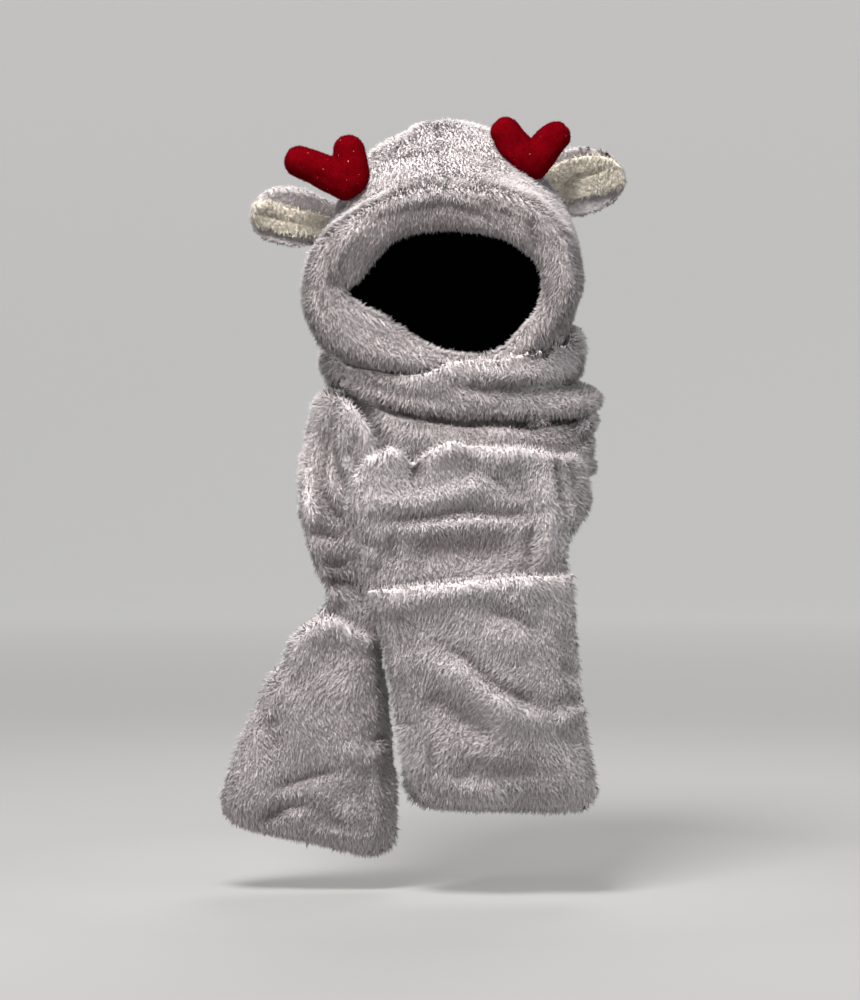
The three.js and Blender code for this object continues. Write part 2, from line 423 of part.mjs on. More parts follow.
// A point at a depth under the hood's surface, with its seam and folds.
function hoodPoint(t, q, depth) {
  const step = 0.004;
  const t0 = Math.max(t - step, 0);
  const t1 = Math.min(t + step, 1);
  const level = Math.min(Math.max(q, -0.93), 0.93); // at the very foot the arches run together
  const dt = hoodSkin(t1, level).sub(hoodSkin(t0, level));
  const dq = hoodSkin(t, level + step).sub(hoodSkin(t, level - step));
  const inward = dt.cross(dq);
  // The face edge and the nape are cut square, so there the wall keeps to their planes.
  inward.y *= smooth(t / 0.1);
  inward.z *= smooth((1 - t) / 0.02);
  inward.normalize();
  const seam = CROWN_SEAM * Math.exp(-((q / 0.035) ** 2));
  const folds = foldDepth(HOOD_FOLDS, t, q) * HOOD_WALL;
  const relief = depth < HOOD_WALL / 2 ? seam + folds : 0;
  return lean(hoodSkin(t, q).addScaledVector(inward, depth + relief));
}

// A wall of the hood between two depths under its surface.
function hoodWall(from, to, { along, across }) {
  const rings = [];
  for (let i = 0; i <= along; i++) {
    const t = i / along;
    const ring = [];
    for (let k = 0; k <= across; k++) ring.push(hoodPoint(t, 2 * k / across - 1, from));
    for (let k = across; k >= 0; k--) ring.push(hoodPoint(t, 2 * k / across - 1, to));
    rings.push(ring);
  }
  return solidOfRings(rings);
}

// A band of cloth. edges(t) gives its two edges and ply at t. place(t, s, lift) is the point at s
// from edge a (-1) to edge b (1), lifted off the middle of the cloth.
function band(edges, closed = false) {
  const middle = t => {
    const { a, b } = edges(t);
    return a.clone().add(b).multiplyScalar(0.5);
  };
  const frame = t => {
    const step = 0.01;
    const before = closed ? t - step : Math.max(t - step, 0);
    const after = closed ? t + step : Math.min(t + step, 1);
    const { a, b, ply } = edges(t);
    const forward = middle(after).sub(middle(before)).normalize();
    const across = b.clone().sub(a).multiplyScalar(0.5);
    const out = forward.cross(across).normalize();
    return { centre: middle(t), across, out, ply };
  };
  const place = (t, s, lift, found = frame(t)) => found.centre.clone()
    .addScaledVector(found.across, s)
    .addScaledVector(found.out, lift);
  return { frame, place, closed };
}

// The solid of a band: each cut is a flattened round, squarer than an ellipse, with the folds sunk
// into its outer side.
function bandSolid(cloth, folds, { along, round }, squareness = 2.6) {
  const rings = [];
  const count = cloth.closed ? along : along + 1;
  for (let i = 0; i < count; i++) {
    const t = i / along;
    const found = cloth.frame(t);
    const ring = [];
    for (let k = 0; k < round; k++) {
      const turn = (k + 0.5) / round * 2 * Math.PI;
      const s = signedPower(Math.cos(turn), 2 / squareness);
      const h = signedPower(Math.sin(turn), 2 / squareness);
      const sunk = h > 0 ? foldDepth(folds, t, s, cloth.closed) * found.ply * h : 0;
      ring.push(cloth.place(t, s, h * found.ply / 2 - sunk, found));
    }
    rings.push(ring);
  }
  return solidOfRings(rings, cloth.closed);
}

// The roll round the face, as a closed band from its outer to its inner edge.
const rimCloth = band(t => {
  const cut = row(RIM_CUTS, t, true);
  const y = FACE_EDGE_Y - SEAM_GAP - cut.set * RIM_DEPTH;
  const point = (x, z, slant) => vec(
    FACE_X + x * RIM_WIDTH / 2,
    y + slant * RIM_DEPTH / 2,
    FACE_Z + z * RIM_HEIGHT / 2,
  );
  return {
    a: point(cut.outX, cut.outZ, -cut.slant),
    b: point(cut.inX, cut.inZ, cut.slant),
    ply: cut.ply * RIM_DEPTH,
  };
}, true);

// A place in the wraps from shares of their width, depth and height.
const wrapPoint = (x, y, z) => vec(
  WRAP_X + x * WRAP_WIDTH,
  WRAP_FRONT_Y + y * WRAP_DEPTH,
  WRAP_TOP_Z - z * WRAP_HEIGHT,
);

// The upper turn, from the crease to its upper edge.
const upperCloth = band(t => {
  const cut = row(WRAP_CUTS, t, true);
  return {
    a: wrapPoint(cut.creaseX, cut.creaseY, cut.creaseZ),
    b: wrapPoint(cut.topX, cut.topY, cut.topZ),
    ply: cut.upperPly * WRAP_PLY,
  };
}, true);

// The lower turn, from its lower edge to the crease, tucked in under the left end.
const lowerCloth = band(t => {
  const cut = row(WRAP_CUTS, t, true);
  const left = (1 - Math.cos(2 * Math.PI * (t - 0.28))) / 2;
  const tuck = LOWER_TUCK.front + (LOWER_TUCK.left - LOWER_TUCK.front) * smooth(2 * left - 0.9);
  const b = wrapPoint(cut.creaseX, cut.creaseY, cut.creaseZ);
  b.x += Math.sign(0.45 - cut.creaseX) * tuck * WRAP_WIDTH;
  return { a: wrapPoint(cut.lowX, cut.lowY, cut.lowZ), b, ply: cut.lowerPly * WRAP_PLY };
}, true);

// An end of the scarf. top is the height that its table's z shares are counted down from.
const endCloth = (table, top, drop) => band(t => {
  const cut = row(table, t);
  const point = (x, y, z) => vec(x * SCARF_WIDTH, WRAP_FRONT_Y + y * WRAP_DEPTH, top - z * drop);
  return { a: point(cut.ax, cut.ay, cut.az), b: point(cut.bx, cut.by, cut.bz), ply: cut.ply * SCARF_PLY };
});
const rightCloth = endCloth(RIGHT_CUTS, WRAP_TOP_Z - 0.87 * WRAP_HEIGHT, RIGHT_DROP);
const leftCloth = endCloth(LEFT_CUTS, WRAP_TOP_Z - 0.4 * WRAP_HEIGHT, LEFT_DROP);

// Height of the outer face of an end over the middle of its cloth.
function endFace(cloth, folds, t, s, squareness = 2.6) {
  const { ply } = cloth.frame(t);
  const h = Math.max(1 - Math.abs(s) ** squareness, 0) ** (1 / squareness);
  return h * ply / 2 - foldDepth(folds, t, s) * ply * h;
}

// A patch pocket on the front of an end: a ply of plush over an open space, sewn down at its sides
// and its lower edge and open at its mouth.
function pocketSolid(cloth, endFolds, folds, mouth, { along, across }) {
  const SIDE = 0.97; // how far towards the scarf's edge the patch is sewn, as a share of its half
  const FOOT = 0.985; // how far down the patch reaches, as a share of the rows
  const rings = [];
  for (let i = 0; i <= along; i++) {
    const down = i / along;
    const t = mouth + (FOOT - mouth) * down;
    const found = cloth.frame(t);
    const open = 1 - smooth((down - 0.72) / 0.28);
    const lower = [];
    const upper = [];
    for (let k = 0; k <= across; k++) {
      const s = SIDE * (2 * k / across - 1);
      const middle = 1 - Math.abs(s / SIDE) ** 5;
      const under = endFace(cloth, endFolds, t, s) + SEAM_GAP + POCKET_ROOM * open * middle;
      const edge = Math.max(middle, 0.25) * Math.max(open, 0.55);
      const relief = foldDepth(folds, down, s / SIDE) * POCKET_PLY * middle * smooth(down / 0.15);
      lower.push(cloth.place(t, s, under, found));
      const ply = POCKET_PLY * edge;
      upper.push(cloth.place(t, s, under + ply - Math.min(relief, ply * 0.6), found));
    }
    rings.push([...lower, ...upper.reverse()]);
  }
  return solidOfRings(rings);
}

// One layer of an ear, between its root and its tip, lifted off the middle of the ear.
function earSolid(table, seat, side, lift, ply, lining, segments) {
  const cloth = band(t => {
    const cut = row(table, lining ? 0.5 + (t - 0.5) * LINING_REACH : t);
    const rise = cut.rise + (lining ? cut.shift * cut.wide : 0);
    const middle = vec(seat.x + side * cut.out * EAR_LENGTH, seat.y, seat.z + rise * EAR_WIDTH);
    const half = cut.wide * EAR_WIDTH * (lining ? cut.lined : 1) / 2;
    const tilt = THREE.MathUtils.degToRad(14);
    const up = vec(side * Math.sin(-tilt) * half, 0, Math.cos(tilt) * half);
    const ends = [middle.clone().addScaledVector(up, -side), middle.clone().addScaledVector(up, side)];
    return { a: ends[0], b: ends[1], ply, cup: cut.cup * EAR_PLY };
  });
  const rings = [];
  for (let i = 0; i <= segments.along; i++) {
    const t = i / segments.along;
    const cut = row(table, t);
    const found = cloth.frame(t);
    const rounded = Math.sqrt(Math.max(1 - Math.max((t - 0.86) / 0.14, 0) ** 2 * 0.75, 0));
    const ring = [];
    for (let k = 0; k < segments.round; k++) {
      const turn = (k + 0.5) / segments.round * 2 * Math.PI;
      const s = signedPower(Math.cos(turn), 0.8);
      const h = signedPower(Math.sin(turn), 0.8);
      const out = lining ? s * cut.lined + 2 * side * cut.shift : s;
      const sunk = cut.cup * EAR_PLY * (1 - out ** 2);
      ring.push(cloth.place(t, s, lift + h * ply / 2 * rounded - sunk, found));
    }
    rings.push(ring);
  }
  return solidOfRings(rings);
}

// A prong: a round-ended cone between two points, flattened from front to back.
function prongSolid(from, to, fromRadius, toRadius, flat, { along, round }) {
  const axis = to.clone().sub(from);
  const length = axis.length();
  axis.normalize();
  const side = vec(0, 1, 0);
  const across = axis.clone().cross(side).normalize();
  const profile = [];
  for (let i = 0; i <= along; i++) {
    const turn = i / along * Math.PI / 2;
    profile.push([-Math.cos(turn) * fromRadius, Math.sin(turn) * fromRadius]);
  }
  for (let i = 1; i <= along; i++) {
    const turn = i / along * Math.PI / 2;
    profile.push([length + Math.sin(turn) * toRadius, Math.cos(turn) * toRadius]);
  }
  const rings = profile.slice(1, -1).map(([far, radius]) => {
    const ring = [];
    for (let k = 0; k < round; k++) {
      const turn = (k + 0.5) / round * 2 * Math.PI;
      ring.push(from.clone().addScaledVector(axis, far)
        .addScaledVector(across, Math.cos(turn) * radius)
        .addScaledVector(side, Math.sin(turn) * radius * flat));
    }
    return ring;
  });
  return solidOfRings(rings);
}

// An antler: its prongs joined, standing on a seat on the hood.
function antlerSolid(table, seat) {
  const place = (x, z) => vec(seat.x + x * ANTLER_SPAN, seat.y, seat.z + z * ANTLER_SPAN);
  const prongs = table.map(prong => prongSolid(
    place(prong.fromX, prong.fromZ),
    place(prong.toX, prong.toZ),
    prong.fromRound * ANTLER_ROUND / 2,
    prong.toRound * ANTLER_ROUND / 2,
    ANTLER_PLY / ANTLER_ROUND,
    SEGMENTS.prong,
  ));
  return prongs.reduce((joined, prong) => joined.add(prong));
}

const seatOf = ({ along, across }, sink) => hoodPoint(along, across, sink);

// The solids, each cut to lie a seam's gap off those before it.
const crown = hoodWall(0, HOOD_WALL, SEGMENTS.hood);
const liningDepth = HOOD_WALL + 2 * SEAM_GAP;
const lining = hoodWall(liningDepth, liningDepth + LINING_WALL, SEGMENTS.hood);
// The hood and its lining with a seam's gap all round, which their neighbours keep out of
const linedHood = hoodWall(-SEAM_GAP, liningDepth + LINING_WALL + SEAM_GAP, SEGMENTS.hood);
const hoodRoom = linedHood
  .add(linedHood.translate(0, -SEAM_GAP, 0))
  .add(linedHood.translate(0, 0, -SEAM_GAP));
const rim = against(bandSolid(rimCloth, RIM_FOLDS, SEGMENTS.rim, 2.5).subtract(hoodRoom));
const upper = against(bandSolid(upperCloth, UPPER_FOLDS, SEGMENTS.wrap).subtract(hoodRoom), rim);
const lower = against(bandSolid(lowerCloth, LOWER_FOLDS, SEGMENTS.wrap).subtract(hoodRoom), rim, upper);
const rightEnd = against(bandSolid(rightCloth, RIGHT_FOLDS, SEGMENTS.arm), upper, lower);
const leftEnd = against(bandSolid(leftCloth, LEFT_FOLDS, SEGMENTS.arm), upper, lower, rightEnd);
const rightPocket = against(
  pocketSolid(rightCloth, RIGHT_FOLDS, RIGHT_POCKET_FOLDS, RIGHT_MOUTH, SEGMENTS.pocket),
  rightEnd,
);
const leftPocket = against(
  pocketSolid(leftCloth, LEFT_FOLDS, LEFT_POCKET_FOLDS, LEFT_MOUTH, SEGMENTS.pocket),
  leftEnd,
  rightEnd,
);

const EARS = [
  { name: 'left', table: LEFT_EAR, seat: SEATS.leftEar, side: -1 },
  { name: 'right', table: RIGHT_EAR, seat: SEATS.rightEar, side: 1 },
];
const ears = EARS.map(({ name, table, seat, side }) => {
  const place = seatOf(seat, HOOD_WALL / 2);
  const insideMiddle = (EAR_PLY + EAR_LINING_PLY) / 2;
  const back = against(earSolid(table, place, side, 0, EAR_PLY, false, SEGMENTS.ear), crown);
  const inside = earSolid(table, place, side, insideMiddle, EAR_LINING_PLY, true, SEGMENTS.ear);
  return { name, back, inside: against(inside, crown, back) };
});
const ANTLERS = [
  { name: 'left', table: LEFT_PRONGS, seat: SEATS.leftAntler },
  { name: 'right', table: RIGHT_PRONGS, seat: SEATS.rightAntler },
];
const earSolids = ears.flatMap(ear => [ear.back, ear.inside]);
const antlers = ANTLERS.map(({ name, table, seat }) => ({
  name,
  solid: against(antlerSolid(table, seatOf(seat, -ANTLER_PLY / 3)), crown, ...earSolids),
}));

// Cloth materials
const plush = new THREE.MeshStandardMaterial({ color: 0xaaa4a4, roughness: 0.95, metalness: 0 });
const fleece = new THREE.MeshStandardMaterial({ color: 0x0b0a0a, roughness: 1, metalness: 0 });
const cream = new THREE.MeshStandardMaterial({ color: 0xe9e2d2, roughness: 0.95, metalness: 0 });
const felt = new THREE.MeshStandardMaterial({ color: 0x8e0710, roughness: 0.85, metalness: 0 });

// A named mesh of a solid.
function meshOf(name, solid, material) {
  const mesh = solid.getMesh();
  const n = mesh.numProp;
  const points = new Float32Array(mesh.numVert * 3);
  for (let i = 0; i < mesh.numVert; i++) points.set(mesh.vertProperties.subarray(i * n, i * n + 3), i * 3);
  const geometry = new THREE.BufferGeometry();
  geometry.setAttribute('position', new THREE.BufferAttribute(points, 3));
  geometry.setIndex(new THREE.BufferAttribute(mesh.triVerts, 1));
  geometry.computeVertexNormals();
  const made = new THREE.Mesh(geometry, material);
  made.name = name;
  return made;
}

const scarf = new THREE.Group();
scarf.name = 'animal_hood_scarf';
scarf.add(
  meshOf('hood_crown', crown, plush),
  meshOf('hood_lining', lining, fleece),
  meshOf('face_rim', rim, plush),
  meshOf('neck_wrap_upper', upper, plush),
  meshOf('neck_wrap_lower', lower, plush),
  meshOf('scarf_end_right', rightEnd, plush),
  meshOf('scarf_end_left', leftEnd, plush),
  meshOf('pocket_right', rightPocket, plush),
  meshOf('pocket_left', leftPocket, plush),
);
for (const ear of ears) {
  scarf.add(meshOf(`ear_${ear.name}`, ear.back, plush), meshOf(`ear_lining_${ear.name}`, ear.inside, cream));
}
for (const antler of antlers) scarf.add(meshOf(`antler_${antler.name}`, antler.solid, felt));

export default scarf;
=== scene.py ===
# %% [markdown]
# # Animal hood scarf in long-pile plush
#
# The object is a plush hood with a padded roll round the face, two ears with a cream lining, two
# stuffed felt antlers, and a scarf that runs once round the neck and hangs down in front in two ends,
# each with a patch pocket for a hand.
#
# The imported model is the frame: it says where each piece is and how large. Every soft piece starts as
# a copy of its solid, is remeshed finely, swells a little as cloth over its filling, gets its wrinkles,
# and is then covered with pile: many thin tufts of real geometry, with roots painted dark as painted
# shade and tips painted pale as painted light.

# %% Frame
import math
from collections import namedtuple

import bpy
import numpy as np
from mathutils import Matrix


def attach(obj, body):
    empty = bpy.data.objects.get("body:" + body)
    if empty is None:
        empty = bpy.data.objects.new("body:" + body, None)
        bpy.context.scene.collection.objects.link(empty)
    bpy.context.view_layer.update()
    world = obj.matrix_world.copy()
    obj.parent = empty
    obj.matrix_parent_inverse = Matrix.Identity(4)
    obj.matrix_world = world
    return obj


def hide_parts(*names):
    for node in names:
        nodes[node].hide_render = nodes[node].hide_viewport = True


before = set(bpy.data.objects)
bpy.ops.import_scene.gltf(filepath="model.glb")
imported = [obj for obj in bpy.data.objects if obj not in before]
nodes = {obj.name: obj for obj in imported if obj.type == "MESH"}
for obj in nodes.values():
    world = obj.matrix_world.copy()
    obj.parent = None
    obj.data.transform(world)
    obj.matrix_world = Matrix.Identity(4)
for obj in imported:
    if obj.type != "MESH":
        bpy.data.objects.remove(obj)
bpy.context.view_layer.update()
print("Solids in the frame:", len(nodes))

# %% [markdown]
# ## Floor, light and camera
#
# A pale floor that curves up into a wall all round has no horizon, so the outline of the pile stays
# readable from every side. The light is soft: one large lamp high in front, which leaves the lower
# ends darker, weaker ones from the sides and behind, and a pale world. The camera stands four metres
# away, a little above the middle of the object, so that one millimetre of the scarf is about one pixel
# of an 860 by 1000 picture.

# %% Studio
MM = 0.001
FLOOR_Z = -0.752
CAMERA_TARGET = np.array([-0.012, -0.06, -0.368])
CAMERA_DISTANCE = 4.0
CAMERA_ELEVATION = math.radians(2)
PICTURE_HEIGHT = 1.0  # metres seen at the target, top to bottom


def new_object(name, data):
    """An object for a mesh, lamp or camera, linked to the scene."""
    made = bpy.data.objects.new(name, data)
    bpy.context.scene.collection.objects.link(made)
    return made


def grid_mesh(name, points):
    """A mesh of quads through an array of points, rows by columns by 3."""
    rows, columns = points.shape[:2]
    index = np.arange(rows * columns).reshape(rows, columns)
    corners = [index[:-1, :-1], index[1:, :-1], index[1:, 1:], index[:-1, 1:]]
    mesh = bpy.data.meshes.new(name)
    mesh.from_pydata(points.reshape(-1, 3).tolist(), [], np.stack(corners, -1).reshape(-1, 4).tolist())
    return mesh


def bowl_profile(floor_radius, arc_radius, steps=24):
    """Floor and quarter round as (radius, height) points from the middle out."""
    turn = np.linspace(0, math.pi / 2, steps)
    arc = np.stack([floor_radius + arc_radius * np.sin(turn), arc_radius * (1 - np.cos(turn))], -1)
    return np.vstack([[[0.001, 0.0], [0.5 * floor_radius, 0.0]], arc])


def turned(profile, columns=96):
    """The points of a profile of (radius, height) carried once round the upright axis."""
    angle = np.linspace(0, 2 * math.pi, columns)
    radius, height = profile[:, 0, None], profile[:, 1, None]
    return np.stack([radius * np.cos(angle), radius * np.sin(angle), height + 0 * angle], -1)


backdrop_points = turned(bowl_profile(floor_radius=5.2, arc_radius=2.2))
backdrop_points[..., 2] += FLOOR_Z
backdrop = new_object("backdrop", grid_mesh("backdrop", backdrop_points))
backdrop.data.shade_smooth()

camera_data = bpy.data.cameras.new("camera")
camera_data.lens = camera_data.sensor_width * CAMERA_DISTANCE / PICTURE_HEIGHT
camera = new_object("camera", camera_data)
towards_camera = np.array([0, -math.cos(CAMERA_ELEVATION), math.sin(CAMERA_ELEVATION)])
camera.location = CAMERA_TARGET + CAMERA_DISTANCE * towards_camera
camera.rotation_euler = (math.pi / 2 - CAMERA_ELEVATION, 0, 0)
bpy.context.scene.camera = camera
bpy.context.scene.view_settings.view_transform = "Standard"


def lamp(name, place, aim, size, power, colour, spread):
    """A square area light at a place, turned to face a point. spread is the angle of its beam."""
    data = bpy.data.lights.new(name, "AREA")
    data.size = size
    data.energy = power
    data.color = colour
    data.spread = math.radians(spread)
    made = new_object(name, data)
    made.location = place
    way = np.array(aim) - np.array(place)
    way = way / np.linalg.norm(way)
    made.rotation_euler = (math.acos(-way[2]), 0, math.atan2(-way[0], way[1]))


WARM, PLAIN, COOL = (1.0, 0.97, 0.95), (1.0, 0.99, 0.98), (0.95, 0.97, 1.0)
CHIN, NECK = (0, 0, -0.25), (0, 0, -0.3)
LAMPS = [
    dict(name="key", place=(-0.42, -1.05, 1.38), aim=CHIN, size=0.8, power=29, colour=WARM, spread=95),
    dict(name="left", place=(-2.3, -1, 0.1), aim=NECK, size=1.2, power=4.5, colour=PLAIN, spread=60),
    dict(name="right", place=(2.1, -0.9, 0.2), aim=NECK, size=1.2, power=4, colour=COOL, spread=60),
    dict(name="back", place=(0.3, 1.9, 1.3), aim=NECK, size=1.4, power=7, colour=PLAIN, spread=70),
]
WORLD_COLOUR, WORLD_STRENGTH = (0.93, 0.94, 0.96, 1), 0.38
for settings in LAMPS:
    lamp(**settings)
world = bpy.data.worlds.new("studio")
world.use_nodes = True
background = world.node_tree.nodes["Background"]
background.inputs["Color"].default_value = WORLD_COLOUR
background.inputs["Strength"].default_value = WORLD_STRENGTH
bpy.context.scene.world = world
print("Lamps:", [settings["name"] for settings in LAMPS])

# %% [markdown]
# ## Noise and other tools
#
# Cloth is never even, so most shapes below use value noise: random numbers on a lattice, blended
# smoothly in between. Each seed always gives the same numbers. A second tool finds, for every point,
# the centre of the tuft that it belongs to: the nearest of the jittered points in the 27 lattice
# cells around it.

# %% Noise
def hashed(cells, seed):
    """A number from 0 to 1 for each lattice cell: the fraction left of a large sine."""
    mixed = cells @ np.array([127.1, 311.7, 74.7]) + seed * 53.9
    wave = np.sin(mixed) * 43758.5453
    return wave - np.floor(wave)


def noise(points, size, seed):
    """Smooth noise from -1 to 1 whose lumps are about size across: the hashes of the eight lattice
    corners round a point, blended by 3 f squared minus 2 f cubed along each axis."""
    scaled = points / size
    cell = np.floor(scaled)
    part = scaled - cell
    blend = part * part * (3 - 2 * part)
    total = np.zeros(len(points))
    for corner in np.ndindex(2, 2, 2):
        offset = np.array(corner)
        share = np.where(offset == 1, blend, 1 - blend).prod(axis=1)
        total += share * hashed(cell + offset, seed)
    return total * 2 - 1


def noise_vectors(points, size, seed):
    """Three noises side by side, as one vector at each point."""
    return np.stack([noise(points, size, seed + k) for k in range(3)], -1)


def tuft_centres(points, size, seed):
    """The nearest of the jittered lattice points, one in each cell of the given size."""
    cell = np.floor(points / size)
    best = np.full(len(points), np.inf)
    centres = np.zeros_like(points)
    for offset in np.ndindex(3, 3, 3):
        around = cell + np.array(offset) - 1
        jitter = np.stack([hashed(around, seed + k) for k in range(3)], -1)
        place = (around + jitter) * size
        gap = ((place - points) ** 2).sum(axis=1)
        nearer = gap < best
        best = np.where(nearer, gap, best)
        centres = np.where(nearer[:, None], place, centres)
    return centres


def smooth(low, high, value):
    """0 below low, 1 above high and 3 t squared minus 2 t cubed between them."""
    part = np.clip((value - low) / (high - low), 0, 1)
    return part * part * (3 - 2 * part)


def unit(vectors):
    """The same directions with length one."""
    return vectors / np.maximum(np.linalg.norm(vectors, axis=1, keepdims=True), 1e-9)


def in_surface(vectors, normals):
    """The part of each vector that lies in the surface."""
    return vectors - normals * (vectors * normals).sum(axis=1, keepdims=True)


print("Noise at three points:", noise(np.eye(3) * 0.7, 1.0, 5).round(3))

# %% [markdown]
# ## Materials
#
# Three fabrics show: grey plush, cream plush and red felt, and inside the hood a fleece painted
# near-black, as painted shade for the deep shade in its hollow.
# Pile is painted dark at the roots, as painted shade where light hardly gets in, and pale at the tips,
# as painted light where they catch it, and whole patches are painted lighter or darker, as painted light
# and shade for the way light falls on nap brushed different ways. A node group works this colour out
# from two attributes that the meshes carry: pile, from 0 at the root to 1 at the tip, and tuft, a random
# number for each tuft. The shader has a faint sheen, as the tips catch light at a grazing angle.

# %% Node helpers
def connect(tree, source, target):
    """A link from one socket to another."""
    tree.links.new(source, target)


def set_inputs(node, **values):
    """Sets the constants on a node's sockets, with underscores for spaces."""
    for name, value in values.items():
        node.inputs[name.replace("_", " ")].default_value = value


def math_node(tree, operation, first, second):
    """A Math node on two inputs, each a socket or a number."""
    node = tree.nodes.new("ShaderNodeMath")
    node.operation = operation
    for k, value in enumerate((first, second)):
        if isinstance(value, (int, float)):
            node.inputs[k].default_value = value
        else:
            connect(tree, value, node.inputs[k])
    return node.outputs[0]


def attribute(tree, name):
    """The value of a mesh attribute."""
    node = tree.nodes.new("ShaderNodeAttribute")
    node.attribute_name = name
    return node.outputs["Fac"]


def noise_node(tree, scale, detail, roughness=0.5):
    """A Noise Texture on Object coordinates."""
    place = tree.nodes.new("ShaderNodeTexCoord")
    node = tree.nodes.new("ShaderNodeTexNoise")
    set_inputs(node, Scale=scale, Detail=detail, Roughness=roughness)
    connect(tree, place.outputs["Object"], node.inputs["Vector"])
    return node.outputs["Fac"]


def mix_colours(tree, factor, first, second):
    """A Mix node on two colours, each a socket or a constant."""
    node = tree.nodes.new("ShaderNodeMix")
    node.data_type = "RGBA"
    connect(tree, factor, node.inputs["Factor"])
    for socket, value in ((node.inputs[6], first), (node.inputs[7], second)):
        if isinstance(value, tuple):
            socket.default_value = value
        else:
            connect(tree, value, socket)
    return node.outputs[2]


def roughened(tree, shader, height, strength, distance):
    """Gives a shader a bump from a height socket."""
    bump = tree.nodes.new("ShaderNodeBump")
    set_inputs(bump, Strength=strength, Distance=distance)
    connect(tree, height, bump.inputs["Height"])
    connect(tree, bump.outputs["Normal"], shader.inputs["Normal"])


# %% Pile colour group
TUFT_CONTRAST = 0.35  # how far tufts differ in tone
TUFT_TONE = 0.12  # how much paler they all are
# Painted shade: patches of noise darken the pile toward the Shade colour, for the way light falls on the nap
PATCH_LEVEL, PATCH_CONTRAST = 0.42, 2.0  # from which noise a patch shows, and how fast it darkens


def pile_colour_group():
    """Root, Tip and Shade colours in, the colour of the pile and a fine height out."""
    group = bpy.data.node_groups.new("pile_colour", "ShaderNodeTree")
    for name in ("Root", "Tip", "Shade"):
        group.interface.new_socket(name, in_out="INPUT", socket_type="NodeSocketColor")
    group.interface.new_socket("Colour", in_out="OUTPUT", socket_type="NodeSocketColor")
    group.interface.new_socket("Height", in_out="OUTPUT", socket_type="NodeSocketFloat")
    given = group.nodes.new("NodeGroupInput")
    result = group.nodes.new("NodeGroupOutput")
    tuft = math_node(group, "MULTIPLY", attribute(group, "tuft"), TUFT_CONTRAST)
    along = math_node(group, "SUBTRACT", attribute(group, "pile"), tuft)
    along = math_node(group, "ADD", along, TUFT_TONE)
    # Painted shade at the root and painted light at the tip: the colour runs from Root to Tip along each tuft
    colour = mix_colours(group, along, given.outputs["Root"], given.outputs["Tip"])
    # Painted shade in random patches, mixed toward the Shade colour
    patches = noise_node(group, scale=22.0, detail=3.0, roughness=0.55)
    patches = math_node(group, "SUBTRACT", patches, PATCH_LEVEL)
    patches = math_node(group, "MULTIPLY", patches, PATCH_CONTRAST)
    colour = mix_colours(group, patches, colour, given.outputs["Shade"])
    connect(group, colour, result.inputs["Colour"])
    connect(group, noise_node(group, scale=420.0, detail=2.0), result.inputs["Height"])
    return group


pile_group = pile_colour_group()


# %% Fabric materials
def new_material(name):
    """A material, its node tree and its Principled BSDF."""
    made = bpy.data.materials.new(name)
    made.use_nodes = True
    return made, made.node_tree, made.node_tree.nodes["Principled BSDF"]


def plush_material(name, root, tip, shade, sheen):
    """Plush: the pile colour group into a rough Principled BSDF with sheen."""
    made, tree, shader = new_material(name)
    pile = tree.nodes.new("ShaderNodeGroup")
    pile.node_tree = pile_group
    set_inputs(pile, Root=root, Tip=tip, Shade=shade)
    connect(tree, pile.outputs["Colour"], shader.inputs["Base Color"])
    roughened(tree, shader, pile.outputs["Height"], strength=0.35, distance=0.6 * MM)
    set_inputs(shader, Roughness=0.85, Specular_IOR_Level=0.25, Sheen_Weight=sheen, Sheen_Roughness=0.45)
    set_inputs(shader, Sheen_Tint=(1.0, 0.98, 0.98, 1))
    return made


grey_plush = plush_material(
    "grey_plush",
    root=(0.28, 0.25, 0.246, 1),
    tip=(0.72, 0.678, 0.69, 1),
    shade=(0.40, 0.372, 0.376, 1),
    sheen=0.08,
)
cream_plush = plush_material(
    "cream_plush",
    root=(0.36, 0.31, 0.24, 1),
    tip=(0.80, 0.76, 0.67, 1),
    shade=(0.58, 0.53, 0.44, 1),
    sheen=0.2,
)


LINT_LEVEL = 0.865  # of a fine noise, above which a speck of lint lies on the felt


def felt_material():
    """Felt: matted fibres, so a fine speckle, a rough surface and a few pale specks of lint."""
    made, tree, shader = new_material("red_felt")
    speckle = noise_node(tree, scale=650.0, detail=3.0)
    blotch = noise_node(tree, scale=60.0, detail=2.0)
    dark, red, light = (0.03, 0.0002, 0.001, 1), (0.1, 0.0004, 0.002, 1), (0.14, 0.001, 0.004, 1)
    colour = mix_colours(tree, speckle, dark, red)
    colour = mix_colours(tree, math_node(tree, "MULTIPLY", blotch, 0.5), colour, light)
    lint = math_node(tree, "GREATER_THAN", noise_node(tree, scale=520.0, detail=0.0), LINT_LEVEL)
    colour = mix_colours(tree, lint, colour, (0.55, 0.30, 0.30, 1))
    connect(tree, colour, shader.inputs["Base Color"])
    roughened(tree, shader, speckle, strength=0.5, distance=0.8 * MM)
    set_inputs(shader, Roughness=0.95, Specular_IOR_Level=0.0)
    return made


def painted_shade_fleece_material():
    """Fleece painted near-black, as painted shade for the deep shade inside the hood: hardly any colour,
    and a nap that scatters what light there is.
    """
    made, tree, shader = new_material("dark_lining")
    nap = noise_node(tree, scale=260.0, detail=3.0)
    colour = mix_colours(tree, nap, (0.0015, 0.0014, 0.0014, 1), (0.004, 0.0035, 0.0035, 1))
    connect(tree, colour, shader.inputs["Base Color"])
    roughened(tree, shader, nap, strength=0.6, distance=MM)
    set_inputs(shader, Roughness=1.0, Specular_IOR_Level=0.0)
    return made


red_felt = felt_material()
# The fleece inside the hood is painted near-black, as painted shade
dark_lining = painted_shade_fleece_material()


